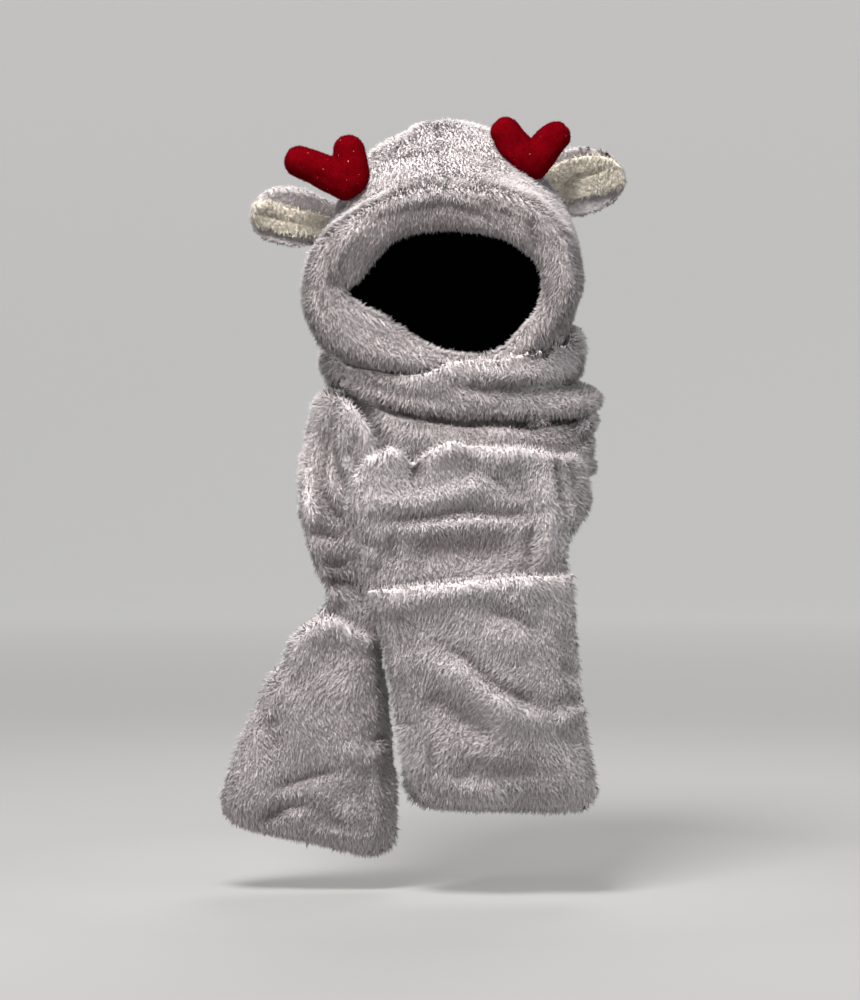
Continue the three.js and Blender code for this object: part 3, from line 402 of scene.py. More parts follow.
def backdrop_material():
    """Paper that is a little greyer in the middle, under the lamps, so that the floor isn't brighter
    than the wall."""
    made, tree, shader = new_material("studio_paper")
    place = tree.nodes.new("ShaderNodeTexCoord")
    far = tree.nodes.new("ShaderNodeVectorMath")
    far.operation = "LENGTH"
    connect(tree, place.outputs["Object"], far.inputs[0])
    share = tree.nodes.new("ShaderNodeMapRange")
    set_inputs(share, From_Min=0.9, From_Max=4.2)
    connect(tree, far.outputs["Value"], share.inputs["Value"])
    paper = mix_colours(tree, share.outputs[0], (0.20, 0.198, 0.194, 1), (0.90, 0.89, 0.875, 1))
    connect(tree, paper, shader.inputs["Base Color"])
    set_inputs(shader, Roughness=0.9, Specular_IOR_Level=0.2)
    set_inputs(shader, Emission_Color=(1.0, 0.99, 0.975, 1), Emission_Strength=0.16)
    return made


backdrop.data.materials.append(backdrop_material())
print("Materials:", [m.name for m in (grey_plush, cream_plush, red_felt, dark_lining)])

# %% [markdown]
# ## From solid to cloth
#
# A voxel remesh turns a faceted solid into an even net of small quads. It is smoothed, drawn in by
# about the height of the pile, so that the tips of the pile end where the solid's surface is, and then
# swells as cloth under pressure. Drawing the net in leaves room between neighbours for the pile.

# %% Remesh and swell
def surface_arrays(mesh):
    """The vertices of a mesh and their normals, three numbers to a row."""
    points = np.empty(len(mesh.vertices) * 3)
    mesh.vertices.foreach_get("co", points)
    normals = np.empty(len(mesh.vertices) * 3)
    mesh.vertex_normals.foreach_get("vector", normals)
    return points.reshape(-1, 3), normals.reshape(-1, 3)


def put_points(mesh, points):
    """Moves the vertices of a mesh to the points."""
    mesh.vertices.foreach_set("co", points.astype(np.float32).ravel())
    mesh.update()


def evaluated(made):
    """A new mesh: an object's own with its modifiers applied."""
    graph = bpy.context.evaluated_depsgraph_get()
    return bpy.data.meshes.new_from_object(made.evaluated_get(graph))


def settle(made):
    """Applies the modifiers of an object."""
    net = evaluated(made)
    made.modifiers.clear()
    made.data = net


def relax(points, edges, rounds, back=-0.52):
    """Moves each point halfway to the mean of its neighbours and then by the share back of the way,
    as many times as rounds says. The default goes a little further back than it came, which smooths
    facets away and keeps the volume. With a back of 0 edges get rounder and rounder."""
    first, second = edges[:, 0], edges[:, 1]
    count = np.bincount(edges.ravel(), minlength=len(points))[:, None]
    for share in (0.5, back) * rounds:
        if share == 0:
            continue
        total = np.zeros_like(points)
        for axis in range(3):
            total[:, axis] += np.bincount(first, points[second, axis], len(points))
            total[:, axis] += np.bincount(second, points[first, axis], len(points))
        points = points + share * (total / count - points)
    return points


def edge_array(mesh):
    """The two vertices of every edge."""
    edges = np.empty(len(mesh.edges) * 2, dtype=np.int32)
    mesh.edges.foreach_get("vertices", edges)
    return edges.reshape(-1, 2)


def corner_array(mesh, sides):
    """The corners of every face, so many to a row."""
    corners = np.empty(len(mesh.loops), dtype=np.int32)
    mesh.loops.foreach_get("vertex_index", corners)
    return corners.reshape(-1, sides)


def merged_copy(name, solids):
    """A new object with the triangles of one or more solids in one mesh."""
    points = [surface_arrays(nodes[node].data)[0] for node in solids]
    starts = np.cumsum([0] + [len(part) for part in points])
    faces = [corner_array(nodes[node].data, 3) + start for node, start in zip(solids, starts)]
    mesh = bpy.data.meshes.new(name)
    mesh.from_pydata(np.vstack(points).tolist(), [], np.vstack(faces).tolist())
    return new_object(name + "_net", mesh)


WELD_GAP = 0.01 * MM


def weld(made):
    """Joins the corners of an object's faces that lie at the same place."""
    made.modifiers.new("weld", "WELD").merge_threshold = WELD_GAP


def remeshed(made, voxel):
    """Gives an object an even net of quads of about voxel size."""
    weld(made)
    remesh = made.modifiers.new("remesh", "REMESH")
    remesh.mode = "VOXEL"
    remesh.voxel_size = voxel
    settle(made)


FILL_CENTRE, FILL_REACH = (0.0, -0.15), (0.12, 0.08)  # of the face opening and its roll, x and z
SEAM_PLACE, SEAM_WIDE = -0.094, 0.026  # where the crown meets the roll, in y
SEAM_ROUNDS, SEAM_LIFT = 70, 0.0035  # how long it is smoothed, and how far it comes back out after that


def outside_ring(points):
    """0 inside the ellipse round the face opening, 1 outside it."""
    return smooth(0.88, 1.05, np.linalg.norm((points[:, [0, 2]] - FILL_CENTRE) / FILL_REACH, axis=1))


def shifted(made, distance, ringed=False):
    """Moves a net out along its normals. If it is ringed, what lies inside the ellipse round the face
    opening stays in place."""
    points, normals = surface_arrays(made.data)
    share = outside_ring(points) if ringed else np.ones(len(points))
    put_points(made.data, points + normals * share[:, None] * distance)


def calm_seam(made):
    """Smooths the hood where crown and roll meet, as their cloth runs on there without a step."""
    points, normals = surface_arrays(made.data)
    calm = relax(points, edge_array(made.data), SEAM_ROUNDS, back=0) + normals * SEAM_LIFT
    share = outside_ring(points) * np.exp(-(((points[:, 1] - SEAM_PLACE) / SEAM_WIDE) ** 2))
    put_points(made.data, points + share[:, None] * (calm - points))


def even_net(name, solids, voxel, rounds, soft, inset, fill=0):
    """An object with an even net of quads over solids, smoothed, rounded off and drawn in by inset.
    fill closes grooves that are less than twice as wide, by a step out, a new net and a step back."""
    made = merged_copy(name, solids)
    remeshed(made, voxel)
    put_points(made.data, relax(surface_arrays(made.data)[0], edge_array(made.data), rounds))
    if fill:
        shifted(made, fill, ringed=True)
        remeshed(made, voxel)
        shifted(made, -fill, ringed=True)
        calm_seam(made)
    put_points(made.data, relax(surface_arrays(made.data)[0], edge_array(made.data), soft, back=0))
    shifted(made, -inset)
    return made


SWELL_FRAMES = 16


def swell(made, pressure, cap, spare):
    """Lets the net swell as cloth over its filling, under pressure and without gravity. spare is how
    much longer the cloth is than the form under it, so that it buckles into soft wrinkles. Each point
    stays within cap of where it was."""
    before, _ = surface_arrays(made.data)
    cloth = made.modifiers.new("cloth", "CLOTH")
    settings = cloth.settings
    settings.quality = 3
    settings.mass = 0.3
    settings.tension_stiffness = settings.compression_stiffness = 15
    settings.shear_stiffness = 8
    settings.bending_stiffness = 1.0
    settings.shrink_min = -spare
    settings.use_pressure = True
    settings.uniform_pressure_force = pressure
    settings.effector_weights.gravity = 0
    cloth.collision_settings.use_collision = False
    scene = bpy.context.scene
    for number in range(1, SWELL_FRAMES + 1):
        scene.frame_set(number)
    after, _ = surface_arrays(evaluated(made))
    made.modifiers.clear()
    scene.frame_set(1)
    move = after - before
    far = np.linalg.norm(move, axis=1, keepdims=True)
    move *= np.minimum(1, cap / np.maximum(far, 1e-9))
    put_points(made.data, relax(before + move, edge_array(made.data), rounds=2))
    return np.linalg.norm(move, axis=1).mean()


# %% [markdown]
# ## Wrinkles
#
# The solids carry the main folds. The finer wrinkles are short lines pressed into the cloth. Each is
# a row with a few points in millimetres (x and z seen from the front or back, y and z seen from a
# side), a depth and a width. A negative depth raises a ridge. A wrinkle only marks cloth that faces
# the way it was drawn from, so it doesn't come out again on the other side.

# %% Wrinkle tables
Wrinkle = namedtuple("Wrinkle", "path depth wide")
FRONT_WRINKLES = {
    "hood": [
        Wrinkle([(-6, 17), (-4, -10), (-2, -35), (4, -57)], 2.5, 5),
        # The next row runs along the brow over the face opening; besides a shallow dent it is there for its
        # painted shade, which darkens the pile
        Wrinkle([(-92, -124), (-62, -90), (0, -80), (60, -84), (96, -112)], 3.5, 13),
        Wrinkle([(-112, -90), (-83, -66), (-50, -52), (-13, -46)], 4.5, 8),
        Wrinkle([(-105, -70), (-78, -50), (-45, -36), (-12, -34)], -2.5, 9),
        Wrinkle([(-62, -26), (-30, -16), (-8, -18)], 3, 7),
        Wrinkle([(-50, -4), (-25, 3)], 2, 7),
        Wrinkle([(8, -12), (36, -22), (60, -38)], 2.5, 7),
        Wrinkle([(10, -48), (40, -58), (72, -76)], 3, 7),
        Wrinkle([(-108, -112), (-111, -132), (-108, -150), (-97, -157)], 6, 6),
        Wrinkle([(-96, -122), (-98, -136), (-96, -150)], 4, 4),
        Wrinkle([(88, -84), (89, -104), (94, -122)], 5, 5),
        Wrinkle([(6, -62), (30, -68), (52, -80), (82, -90)], 3, 5),
        Wrinkle([(-96, -98), (-69, -88), (-38, -80), (1, -74), (40, -80)], 3, 6),
        Wrinkle([(-8, -64), (-6, -84)], 3, 6),
        Wrinkle([(10, -76), (36, -86), (60, -96)], 2.5, 4),
        Wrinkle([(-100, -190), (-80, -206), (-56, -218)], 3, 7),
        Wrinkle([(104, -150), (100, -176), (84, -196)], 3, 6),
        Wrinkle([(-126, -150), (-112, -184)], 3, 6),
    ],
    "neck_wrap_upper": [
        Wrinkle([(12, -252), (50, -256), (91, -255), (150, -249)], 8, 6),
        Wrinkle([(-100, -218), (-60, -232), (-10, -238)], 4, 7),
        Wrinkle([(40, -230), (88, -228), (126, -208)], 4, 7),
        Wrinkle([(-84, -246), (-40, -262), (6, -266)], 3, 6),
        Wrinkle([(30, -242), (70, -243), (120, -236)], -3, 7),
    ],
    "neck_wrap_lower": [
        Wrinkle([(-60, -284), (-10, -296), (50, -300)], 3, 7),
        Wrinkle([(60, -292), (110, -296), (150, -286)], 4, 7),
        Wrinkle([(90, -310), (130, -314), (152, -306)], 3, 6),
        Wrinkle([(142, -276), (144, -300), (147, -328)], -6, 8),
    ],
    "scarf_end_right": [
        Wrinkle([(-29, -285), (-28, -312), (-24, -348)], 11, 7),
        Wrinkle([(-78, -330), (-42, -324)], -4, 9),
        Wrinkle([(-14, -322), (30, -319), (104, -323)], -4, 9),
        Wrinkle([(-62, -318), (-58, -334)], 3, 9),
        Wrinkle([(-50, -316), (-46, -328)], -3, 9),
        Wrinkle([(4, -308), (10, -326)], -3, 14),
        Wrinkle([(20, -316), (30, -332), (24, -346)], 4, 8),
        Wrinkle([(-72, -366), (-24, -366), (19, -357), (44, -345)], -6, 9),
        Wrinkle([(-66, -382), (-24, -380), (24, -373), (60, -378), (104, -374)], 6, 7),
        Wrinkle([(-52, -392), (0, -390), (34, -386), (80, -388)], -4, 6),
        Wrinkle([(-40, -414), (20, -412), (78, -410)], 7, 17),
        Wrinkle([(87, -388), (88, -410), (86, -434)], 5, 5),
        Wrinkle([(102, -330), (104, -370), (104, -430)], -4, 10),
        Wrinkle([(44, -336), (60, -350), (76, -362)], 5, 5),
        Wrinkle([(62, -334), (76, -346), (84, -366)], 4, 5),
        Wrinkle([(113, -322), (117, -350), (124, -380)], 7, 5),
        Wrinkle([(-80, -400), (-58, -414), (-66, -440)], 4, 6),
        Wrinkle([(-50, -396), (-46, -430)], 5, 5),
    ],
    "scarf_end_left": [
        Wrinkle([(-112, -290), (-121, -322), (-123, -352), (-108, -376), (-96, -391)], 9, 6),
        Wrinkle([(-106, -268), (-113, -304), (-106, -333), (-95, -361)], 7, 5),
        Wrinkle([(-84, -300), (-92, -318), (-86, -330)], 5, 5),
        Wrinkle([(-136, -398), (-116, -398), (-98, -404)], 5, 6),
        Wrinkle([(-126, -424), (-106, -430), (-90, -428)], 4, 6),
        Wrinkle([(-116, -446), (-92, -448), (-72, -466)], 8, 6),
        Wrinkle([(-132, -330), (-134, -366), (-124, -392)], -4, 7),
    ],
    "pocket_right": [
        Wrinkle([(-72, -470), (-4, -454), (62, -450), (134, -449)], -5, 8),
        Wrinkle([(-27, -514), (21, -534), (44, -554), (75, -576), (108, -580)], -6, 12),
        Wrinkle([(-2, -500), (26, -518), (51, -541), (75, -554), (92, -561)], 6, 7),
        Wrinkle([(-24, -547), (4, -562), (34, -582), (52, -597)], 7, 13),
        Wrinkle([(34, -489), (60, -498), (86, -508)], -4, 13),
        Wrinkle([(44, -470), (74, -478), (94, -490)], 4.5, 6),
        Wrinkle([(112, -520), (126, -530), (138, -538)], 4, 8),
        Wrinkle([(122, -594), (136, -600), (150, -608)], 3.5, 8),
        Wrinkle([(112, -582), (126, -572), (142, -566)], -4, 6),
        Wrinkle([(104, -556), (124, -560), (142, -556)], 3, 8),
        Wrinkle([(16, -640), (38, -648), (62, -654)], -4, 9),
        Wrinkle([(10, -622), (50, -628), (104, -624)], 4, 12),
        Wrinkle([(-48, -582), (-27, -580)], 4, 4),
        Wrinkle([(-52, -470), (-30, -490), (-36, -520)], 3, 8),
    ],
    "pocket_left": [
        Wrinkle([(-162, -512), (-130, -506), (-103, -504), (-60, -507)], -5, 8),
        Wrinkle([(-168, -648), (-132, -636), (-104, -630)], 5, 5),
        Wrinkle([(-180, -682), (-157, -668), (-128, -660)], 7, 6),
        Wrinkle([(-148, -536), (-138, -552)], 4, 12),
        Wrinkle([(-172, -574), (-166, -592), (-160, -616)], 5, 11),
        Wrinkle([(-100, -604), (-76, -618), (-62, -616)], -4, 9),
        Wrinkle([(-140, -664), (-110, -674), (-96, -690)], 4, 8),
        Wrinkle([(-70, -600), (-52, -598)], 4, 4),
        Wrinkle([(-150, -514), (-130, -524)], -3, 8),
    ],
    "ear_lining_left": [Wrinkle([(-186, -80), (-160, -86), (-124, -94)], 2.5, 3)],
    "ear_lining_right": [Wrinkle([(116, -58), (140, -44), (166, -34)], 2.5, 3)],
}
SIDE_WRINKLES = {
    "neck_wrap_upper": [
        Wrinkle([(-120, -252), (-60, -250), (0, -246), (70, -236)], 8, 7),
        Wrinkle([(-100, -270), (-20, -268), (60, -262)], -4, 9),
        Wrinkle([(-90, -222), (-20, -216), (60, -214)], -3, 11),
        Wrinkle([(40, -214), (90, -222)], 3, 8),
    ],
    "neck_wrap_lower": [
        Wrinkle([(-110, -300), (-40, -304), (40, -298)], 5, 8),
        Wrinkle([(-60, -322), (10, -326), (70, -318)], 3, 7),
    ],
    "scarf_end_left": [
        Wrinkle([(-70, -290), (-40, -330), (-50, -380)], 5, 8),
        Wrinkle([(20, -300), (-10, -340), (-40, -352)], 5, 8),
    ],
    "scarf_end_right": [Wrinkle([(-90, -330), (-60, -344), (-20, -340)], 4, 8)],
}
BACK_WRINKLES = {
    "hood": [
        Wrinkle([(-2, 0), (0, -60), (2, -150), (3, -230)], 3, 6),
        Wrinkle([(-60, -60), (-40, -110), (-50, -150)], 3, 10),
        Wrinkle([(64, -70), (44, -120), (58, -170)], 3, 10),
    ],
    "neck_wrap_upper": [
        Wrinkle([(-90, -228), (-20, -236), (60, -230), (120, -222)], 5, 8),
        Wrinkle([(-60, -252), (10, -256), (80, -250)], 4, 7),
    ],
    "neck_wrap_lower": [
        Wrinkle([(-60, -292), (20, -300), (110, -290)], 5, 8),
        Wrinkle([(-20, -316), (50, -320), (100, -314)], 3, 7),
    ],
    "scarf_end_right": [
        Wrinkle([(-70, -420), (0, -440), (90, -430)], 4, 12),
        Wrinkle([(-40, -520), (40, -545), (120, -540)], 4, 12),
        Wrinkle([(0, -610), (70, -600), (130, -620)], 3, 10),
    ],
    "scarf_end_left": [
        Wrinkle([(-170, -560), (-120, -580), (-70, -570)], 4, 10),
        Wrinkle([(-190, -640), (-130, -650), (-70, -640)], 4, 10),
        Wrinkle([(-110, -400), (-100, -460), (-110, -510)], 5, 8),
    ],
}
# For each table: the axes of its paths and the way that the cloth under it faces
LOOKS = [
    (FRONT_WRINKLES, [0, 2], np.array([0, -1, 0.5])),
    (SIDE_WRINKLES, [1, 2], np.array([1, 0, 0.2])),
    (SIDE_WRINKLES, [1, 2], np.array([-1, 0, 0.2])),
    (BACK_WRINKLES, [0, 2], np.array([0, 1, 0.2])),
]
# Edges that arch up or sag: at is the middle of the edge in x and z, wide the half width of the arch,
# high how far below the edge it still shows, up how far the edge moves, all in millimetres.
ARCHES = {
    "pocket_left": [
        dict(at=(-112, -497), wide=24, high=26, up=15),
        dict(at=(-158, -500), wide=12, high=20, up=-5),
    ],
    "pocket_right": [dict(at=(70, -446), wide=60, high=24, up=3)],
    "scarf_end_right": [
        dict(at=(-29, -316), wide=8, high=20, up=-10),
        dict(at=(-54, -318), wide=14, high=20, up=3),
        dict(at=(14, -314), wide=24, high=22, up=5),
        dict(at=(84, -316), wide=22, high=22, up=3),
    ],
}


END_DEPTH = 0.25  # of a wrinkle's depth that is left at its ends


def arched(points, piece):
    """Moves points up by up times a bell over the width times a bell down from the edge."""
    for row in ARCHES.get(piece, []):
        across = np.exp(-(((points[:, 0] / MM - row["at"][0]) / row["wide"]) ** 2))
        below = np.maximum(row["at"][1] - points[:, 2] / MM, 0)
        points[:, 2] += row["up"] * MM * across * np.exp(-((below / row["high"]) ** 2))
    return points


def along_path(flat, path):
    """The distance of each flat point from a line through the path's points, and how far along the
    line its nearest point is, from 0 to 1."""
    best = np.full(len(flat), np.inf)
    where = np.zeros(len(flat))
    path = np.array(path, float)
    for k, (start, end) in enumerate(zip(path[:-1], path[1:])):
        way = end - start
        part = np.clip(((flat - start) @ way) / (way @ way), 0, 1)
        gap = np.linalg.norm(flat - (start + part[:, None] * way), axis=1)
        nearer = gap < best
        best = np.where(nearer, gap, best)
        where = np.where(nearer, (k + part) / (len(path) - 1), where)
    return best, where


def wrinkled(points, normals, piece):
    """Points moved in along their normals by depth times exp of minus (gap over width) squared, less
    towards the ends of a wrinkle. Also returns how deep, in metres."""
    total = np.zeros(len(points))
    for table, axes, towards in LOOKS:
        flat = points[:, axes] / MM
        height = np.maximum(normals[:, 2], 0)
        facing = smooth(0.0, 0.5, normals[:, :2] @ towards[:2] + height * towards[2])
        for row in table.get(piece, []):
            gap, where = along_path(flat, row.path)
            ends = smooth(0, 0.25, where) * smooth(0, 0.25, 1 - where)
            depth = row.depth * (END_DEPTH + (1 - END_DEPTH) * ends)
            total += facing * depth * np.exp(-((gap / row.wide) ** 2))
    total *= MM
    return points - normals * total[:, None], total


# %% [markdown]
# ## Pile
#
# Each tuft of pile is a thin spike with three sides and its root under the cloth. Its direction is
# between the surface's normal and the way the nap lies, which runs down and forward over the cloth
# and turns slowly from place to place. On edges that face up it stands straight and is shorter. The
# tips of neighbouring tufts lean together, which gives the surface its short light strokes with dark
# gaps. The normals are blended from the cloth's own and the tuft's lean, so that the pile shades
# softly, like cloth, and not like needles.

# %% Pile maker
PILE_SEED = 20
NAP = np.array([0.0, -0.4, -1.0])  # the nap runs down and a little forward
# Painted shade: pile in a wrinkle is coloured darker, by its depth
DENT_PAINTED_SHADE = 0.055  # how much darker pile is for each millimetre of a wrinkle's depth
# Painted shade: the roll's pile is coloured darker than the crown's
ROLL_PAINTED_SHADE = 0.3  # how much darker the ruffled pile of the roll is than that of the crown
# Painted shade: pile that stands straight on edges that face up is coloured darker
EDGE_PAINTED_SHADE = 0.25  # how much darker pile is that stands straight up and lets one see its roots
BASE_PILE = 0.5  # the colour of bare cloth, between root and tip, as gaps in real pile look
ROLL_START, ROLL_FULL = -0.08, -0.125  # between which y the crown's pile turns into the roll's
ROLL_LONGER = EDGE_SHORTER = 0.35  # shares by which the roll's pile is longer, and straight pile shorter
EDGE_GATHER, EDGE_LEAN = 0.6, 0.8  # shares by which straight pile gathers and leans less


def scatter(points, normals, quads, density, weight, extra, rng):
    """Random places on a surface, evenly by area times weight: point, normal and extra value at each.
    density is how many there are on a square metre of full weight."""
    triangles = np.concatenate([quads[:, half] for half in [(0, 1, 2), (0, 2, 3)]])
    first, second, third = (points[triangles[:, k]] for k in range(3))
    area = np.linalg.norm(np.cross(second - first, third - first), axis=1) / 2
    area *= weight[triangles].mean(axis=1)
    count = int(density * area.sum())
    share = np.cumsum(area) / area.sum()
    spots = (np.arange(count) + rng.random(count)) / count
    chosen = triangles[np.minimum(np.searchsorted(share, spots), len(share) - 1)]
    a, b = np.sqrt(rng.random(count)), rng.random(count)
    parts = np.stack([1 - a, a * (1 - b), a * b], -1)
    place = (points[chosen] * parts[:, :, None]).sum(axis=1)
    normal = unit((normals[chosen] * parts[:, :, None]).sum(axis=1))
    return place, normal, (extra[chosen] * parts).sum(axis=1)


def painted_dent_shade(depth):
    """Painted shade and light: how much darker pile is painted in a wrinkle of some depth, and how much
    lighter on a ridge.
    """
    return DENT_PAINTED_SHADE * np.clip(depth / MM, -3, 7)


def tufts(place, normal, depth, style, rng):
    """Spikes at the places: their vertices (four each: three at the root, one at the tip), their
    shading normals, and the pile and tuft values of each vertex. A tuft that stands in a wrinkle, by
    its depth in metres, is painted darker, as painted shade."""
    count = len(place)
    straight = style["stand"] * smooth(0.3, 0.85, normal[:, 2])[:, None]
    swirl = noise_vectors(place, style["swirl_size"], PILE_SEED)
    swirl += 0.5 * noise_vectors(place, style["swirl_size"] * 0.35, PILE_SEED + 11)
    nap = unit(unit(in_surface(NAP, normal)) + in_surface(swirl * style["swirl"], normal))
    centre = tuft_centres(place, style["tuft_size"], PILE_SEED + 7)
    gather = in_surface(centre - place, normal) * (1 - EDGE_GATHER * straight)
    lean = style["lean"] * (0.7 + 0.6 * rng.random(count))[:, None] * (1 - EDGE_LEAN * straight)
    stray = in_surface(rng.normal(size=(count, 3)), normal) * style["stray"]
    way = unit(normal + nap * lean + stray)
    length = style["length"] * (0.65 + 0.55 * rng.random(count))
    length *= 1 + 0.2 * noise(place, style["tuft_size"] * 1.5, PILE_SEED + 3)
    ruffled = style["ruffled"] * smooth(ROLL_START, ROLL_FULL, place[:, 1])[:, None]
    length *= 1 + ROLL_LONGER * ruffled[:, 0] - EDGE_SHORTER * straight[:, 0]
    tip = place + way * length[:, None] + gather * style["gather"] * (1 + 0.5 * ruffled)
    side = unit(np.cross(way, normal))
    half = style["width"] / 2 * (0.75 + 0.5 * rng.random(count))[:, None]
    sunk = place - normal * half
    roots = [sunk - side * half, sunk + side * half, sunk - normal * half + nap * half]
    points = np.stack([*roots, tip], axis=1).reshape(-1, 3)
    rounded = -gather / style["tuft_size"] * style["round"] * (1 + ruffled)
    shading = unit(normal + rounded + nap * style["tilt"] + stray * 0.1)
    normals = np.repeat(shading, 4, axis=0)
    # Painted shade: the pile value, and with it the colour, is lowered in wrinkles and where pile stands
    # straight
    shaded = painted_dent_shade(depth) + EDGE_PAINTED_SHADE * straight[:, 0]
    # Painted shade: the style's tone and the roll both colour the pile darker
    shaded += style["tone"] + ROLL_PAINTED_SHADE * ruffled[:, 0]
    pile = (np.array([0.0, 0.0, 0.0, 1.0])[None] - shaded[:, None]).ravel()
    tuft = np.repeat(rng.random(count), 4)
    return points, normals, pile, tuft


# The corners of a quad and of the three sides of a spike in their cells of the map
QUAD_CORNERS = np.array([[0.1, 0.1], [0.9, 0.1], [0.9, 0.9], [0.1, 0.9]])
SIDE_ENDS = [(0.1, 0.36), (0.37, 0.63), (0.64, 0.9)]
SPIKE_CORNERS = np.vstack([[[left, 0.1], [right, 0.1], [0.5, 0.9]] for left, right in SIDE_ENDS])


def cell_corners(count, cells, first):
    """The lower left corner of each cell, and the width of a cell, in a square map of cells."""
    side = math.ceil(math.sqrt(cells))
    number = np.arange(first, first + count)
    return np.stack([number % side, number // side], -1) / side, 1 / side


def joined_mesh(name, base, depth, spikes):
    """One mesh of the cloth's quads and the spikes' triangles, with a map, attributes and normals.
    In the map each quad and each spike has a cell of its own, so that nothing overlaps."""
    points, normals, quads = base
    tuft_points, tuft_normals, pile, tuft = spikes
    count = len(tuft_points) // 4
    start = len(points) + 4 * np.arange(count)[:, None]
    sides = np.array([[0, 1, 3], [1, 2, 3], [2, 0, 3]])
    triangles = (start[:, :, None] + sides[None]).reshape(-1, 3)
    mesh = bpy.data.meshes.new(name)
    mesh.vertices.add(len(points) + len(tuft_points))
    mesh.vertices.foreach_set("co", np.vstack([points, tuft_points]).astype(np.float32).ravel())
    loops = np.concatenate([quads.ravel(), triangles.ravel()])
    mesh.loops.add(len(loops))
    mesh.loops.foreach_set("vertex_index", loops.astype(np.int32))
    mesh.polygons.add(len(quads) + len(triangles))
    first = np.concatenate([np.arange(len(quads)) * 4, quads.size + np.arange(len(triangles)) * 3])
    mesh.polygons.foreach_set("loop_start", first.astype(np.int32))
    mesh.update(calc_edges=True)
    mesh.shade_smooth()
    cells = len(quads) + count
    low, width = cell_corners(len(quads), cells, 0)
    quad_map = low[:, None] + QUAD_CORNERS[None] * width
    low, width = cell_corners(count, cells, len(quads))
    spike_map = low[:, None] + SPIKE_CORNERS[None] * width
    layer = mesh.uv_layers.new(name="OFBake")
    layer.uv.foreach_set("vector", np.concatenate([quad_map.ravel(), spike_map.ravel()]).astype(np.float32))
    # Painted shade: bare cloth in a wrinkle is coloured darker too, and lighter on a ridge as painted light
    cloth_pile = BASE_PILE - painted_dent_shade(depth)
    cloth_tuft = np.full(len(points), 0.5)
    for label, values in (("pile", [cloth_pile, pile]), ("tuft", [cloth_tuft, tuft])):
        values = np.concatenate(values).astype(np.float32)
        mesh.attributes.new(label, "FLOAT", "POINT").data.foreach_set("value", values)
    mesh.normals_split_custom_set_from_vertices(np.vstack([normals, tuft_normals]).tolist())
    return mesh


# %% [markdown]
# ## Where cloth shows
#
# Cloth that lies on other cloth needs no pile. A coarse map of the space says which pieces pass
# through each small cell. From each point five ways lead out of the cloth, one straight and four
# slanting. A way is free if it meets no cell of another piece, and the share of free ways says how
# open the cloth is there, and so how much pile it gets.

# %% Cover map
COVER_CELL = 5 * MM
COVER_MARGIN = 0.06  # of the map round all pieces, more than the longest way looks
LOOK_STEPS = np.arange(4, 30, 4) * MM
ANY_WAY = np.array([0.31, 0.57, 0.76])  # gives each normal some direction to its side


def cover_map(surfaces):
    """A grid of whole numbers, one bit for each piece that passes through a cell, and its corner."""
    low = np.min([points.min(axis=0) for points in surfaces.values()], axis=0) - COVER_MARGIN
    high = np.max([points.max(axis=0) for points in surfaces.values()], axis=0) + COVER_MARGIN
    shape = np.ceil((high - low) / COVER_CELL).astype(int)
    cells = np.zeros(shape, dtype=np.int32)
    for bit, points in enumerate(surfaces.values()):
        index = ((points - low) / COVER_CELL).astype(int)
        cells[tuple(index.T)] |= 1 << bit
    return cells, low


def openness(points, normals, own_bit, cells, low):
    """The share of five ways out of the cloth that are free, for each point."""
    side = unit(np.cross(normals, ANY_WAY))
    other = np.cross(normals, side)
    ways = [normals, *(unit(normals + slant) for slant in (side, -side, other, -other))]
    share = np.zeros(len(points))
    for way in ways:
        free = np.ones(len(points))
        for step in LOOK_STEPS:
            index = ((points + way * step - low) / COVER_CELL).astype(int)
            free[(cells[tuple(index.T)] & ~(1 << own_bit)) != 0] = 0
        share += free / len(ways)
    return share


# %% [markdown]
# ## The plush pieces
#
# One table says how each piece is made. net is the size of its quads, inset how far it is drawn in
# before it swells, fill the half width of the grooves that close, swell the most that it may swell,
# all in millimetres. rounds and soft say how often it is smoothed and rounded off, spare how much
# longer the cloth is than its form, and pile what pile it carries. The hood and its roll are two
# solids, but one cloth, with no seam. Hood and ears have a shorter, calmer pile than the scarf.

# %% Plush pieces
# Styles of pile: sizes in metres, the rest shares of full effect
LONG_PILE = dict(
    swirl=0.9, swirl_size=0.05, tuft_size=0.0046, lean=1.25, stray=0.36, stand=1,
    length=0.0076, gather=0.48, width=0.00135, round=0.42, tilt=0.15, ruffled=0, tone=0,
)
# Painted shade: the wraps' pile is coloured darker than the rest of the scarf's, by its tone
WRAP_PILE = dict(LONG_PILE, tone=0.2)
HOOD_PILE = dict(
    LONG_PILE, swirl=0.6, stray=0.34, stand=0, length=0.0058, tuft_size=0.0042, gather=0.3, width=0.0013,
    round=0.19, ruffled=1,
)
EAR_PILE = dict(
    HOOD_PILE, length=0.004, tuft_size=0.004, gather=0.36, round=0.34, width=0.0012, ruffled=0, stand=0.3,
)
CREAM_PILE = dict(EAR_PILE, swirl=1.4, swirl_size=0.02, lean=1.0, length=0.0052, gather=0.5, round=0.4)
DENSITY = 0.4e6  # tufts on a square metre of open cloth that faces the front, at the most
BACK_SHARE = 0.5  # of that on cloth that faces the back
EAR_DENSITY = 0.85e6
WRAP = dict(rounds=8, soft=3, inset=3.2, swell=3.0, spare=0.05, pile=WRAP_PILE)
POCKET = dict(net=3.6, rounds=10, soft=4, inset=0.4, swell=2.5, spare=0.04, pile=LONG_PILE)
EAR = dict(net=2.4, rounds=6, soft=2, inset=1.2, swell=0, pile=EAR_PILE)
EAR_LINING = dict(net=1.8, rounds=6, soft=2, inset=0.6, swell=0, pile=CREAM_PILE)
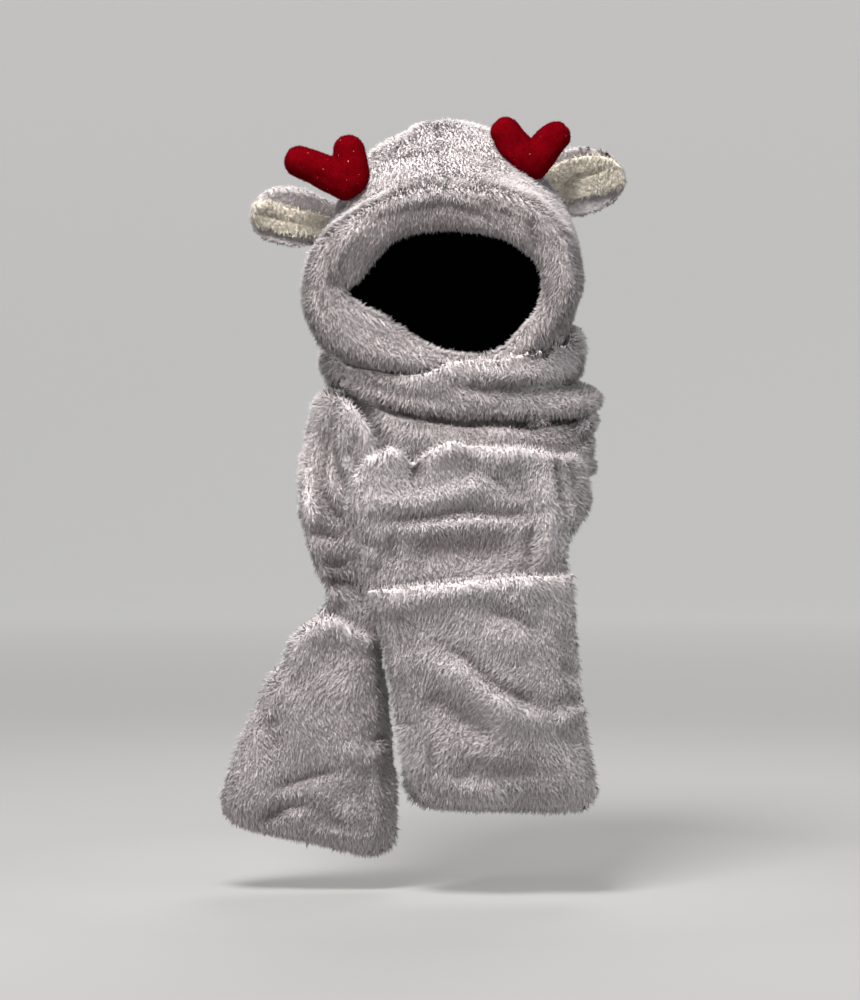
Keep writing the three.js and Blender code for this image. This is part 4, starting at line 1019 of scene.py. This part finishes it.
PLUSH = {
    "hood": dict(
        solids=["hood_crown", "face_rim"], net=4.0, rounds=10, soft=4, inset=2.6, fill=9, swell=2.0,
        spare=0.02, pile=HOOD_PILE,
    ),
    "neck_wrap_upper": dict(WRAP, net=4.0),
    "neck_wrap_lower": dict(WRAP, net=4.2),
    "scarf_end_right": dict(net=4.0, rounds=8, soft=5, inset=1.6, swell=3.0, spare=0.05, pile=LONG_PILE),
    "scarf_end_left": dict(net=4.2, rounds=8, soft=2, inset=1.6, swell=3.0, spare=0.06, pile=LONG_PILE),
    "pocket_right": POCKET,
    "pocket_left": POCKET,
    "ear_left": EAR,
    "ear_right": EAR,
    "ear_lining_left": EAR_LINING,
    "ear_lining_right": EAR_LINING,
}
PRESSURE = 4.0
LINING_SAMPLES = 80000


def lumpy(points, normals):
    """Soft unevenness of the filling: two sizes of noise along the normal."""
    height = 2.2 * MM * noise(points, 0.055, 31) + 1.1 * MM * noise(points, 0.022, 37)
    return points + normals * height[:, None]


def sampled(mesh, count):
    """Random points on the triangles of a mesh, evenly by area."""
    points, _ = surface_arrays(mesh)
    triangles = corner_array(mesh, 3)[:, [0, 1, 2, 2]]
    every = np.ones(len(points))
    area = sum(face.area for face in mesh.polygons)
    return scatter(points, points, triangles, count / area, every, every, np.random.default_rng(PILE_SEED))[0]


nets = {}
for node, piece in PLUSH.items():
    solids = piece.get("solids", [node])
    size, inset, fill = (piece.get(key, 0) * MM for key in ("net", "inset", "fill"))
    net = even_net(node, solids, size, piece["rounds"], piece["soft"], inset, fill)
    still = piece["swell"] == 0 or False
    moved = 0 if still else swell(net, PRESSURE, piece["swell"] * MM, piece["spare"])
    nets[node] = net
    print(node, "net of", len(net.data.polygons), "quads, swollen by", round(moved / MM, 2), "mm")

surfaces = {node: surface_arrays(net.data)[0] for node, net in nets.items()}
surfaces["hood_lining"] = sampled(nodes["hood_lining"].data, LINING_SAMPLES)
cells, cells_low = cover_map(surfaces)


# %% Dress each piece
def pile_share(points, normals, bit):
    """How much of the full pile a piece has at each point: less where it is covered and at the back."""
    share = smooth(0.02, 0.4, openness(points, normals, bit, cells, cells_low))
    return share * (BACK_SHARE + (1 - BACK_SHARE) * smooth(-0.4, 0.2, -normals[:, 1]))


def dressed_net(name, net, density, weight, depth, style, seed):
    """The finished piece, a net with its pile in one mesh, and its number of triangles."""
    points, normals = surface_arrays(net.data)
    quads = corner_array(net.data, 4)
    rng = np.random.default_rng(seed)
    place, normal, deep = scatter(points, normals, quads, density, weight, depth, rng)
    spikes = tufts(place, normal, deep, style, rng)
    made = new_object(name, joined_mesh(name, (points, normals, quads), depth, spikes))
    bpy.data.objects.remove(net)
    triangles = 2 * len(quads) + 3 * len(place)
    print(name, "of", triangles, "triangles with", len(place), "tufts")
    return made, triangles


total = 0
for bit, (node, piece) in enumerate(PLUSH.items()):
    net = nets[node]
    points, normals = surface_arrays(net.data)
    small = node.startswith("ear")
    weight = np.ones(len(points)) if small else pile_share(points, normals, bit)
    density = EAR_DENSITY if small else DENSITY
    put_points(net.data, lumpy(points, normals))
    points, depth = wrinkled(*surface_arrays(net.data), node)
    put_points(net.data, arched(points, node))
    name, seed = node + "_plush", PILE_SEED + bit
    dressed, count = dressed_net(name, net, density, weight, depth, piece["pile"], seed)
    dressed.data.materials.append(cream_plush if "lining" in node else grey_plush)
    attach(dressed, "root")
    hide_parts(*piece.get("solids", [node]))
    total += count

# %% [markdown]
# ## Antlers and lining
#
# The antlers are stuffed felt, so they are smooth and full, with a fuzz of very short fibres that
# softens their outline. The lining is a thin skin of fleece inside the hood, painted near-black as
# painted shade for the hollow: a copy of its solid, smoothed by a subdivision surface and made a little
# uneven.

# %% Antlers
FELT_FUZZ = dict(
    swirl=4.0, swirl_size=0.006, tuft_size=0.002, lean=1.6, stray=0.8,
    length=0.0021, gather=0.2, width=0.00055, round=0.1, tilt=0.05, ruffled=0, stand=0, tone=0,
)
FUZZ_DENSITY = 0.68e6
for bit, node in enumerate(("antler_left", "antler_right")):
    net = even_net(node, [node], 1.8 * MM, rounds=8, soft=3, inset=-1.4 * MM)
    points, normals = surface_arrays(net.data)
    put_points(net.data, points + normals * (MM * noise(points, 0.012, 43))[:, None])
    flat, name, seed = np.zeros(len(points)), node + "_felt", PILE_SEED + 40 + bit
    made, count = dressed_net(name, net, FUZZ_DENSITY, flat + 1, flat, FELT_FUZZ, seed)
    made.data.materials.append(red_felt)
    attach(made, "root")
    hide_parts(node)
    total += count
print("Plush and felt in all:", total, "triangles")

# %% Lining
# The lining's near-black colour is painted shade for the hollow of the hood
lining = new_object("hood_lining_painted_shade", nodes["hood_lining"].data.copy())
weld(lining)
finer = lining.modifiers.new("finer", "SUBSURF")
finer.levels = finer.render_levels = 1
settle(lining)
net = lining.data
points = relax(surface_arrays(net)[0], edge_array(net), rounds=2)
put_points(net, points + 0.8 * MM * noise_vectors(points, 0.03, 47))
net.shade_smooth()
net.materials.clear()
net.materials.append(dark_lining)
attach(lining, "root")
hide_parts("hood_lining")
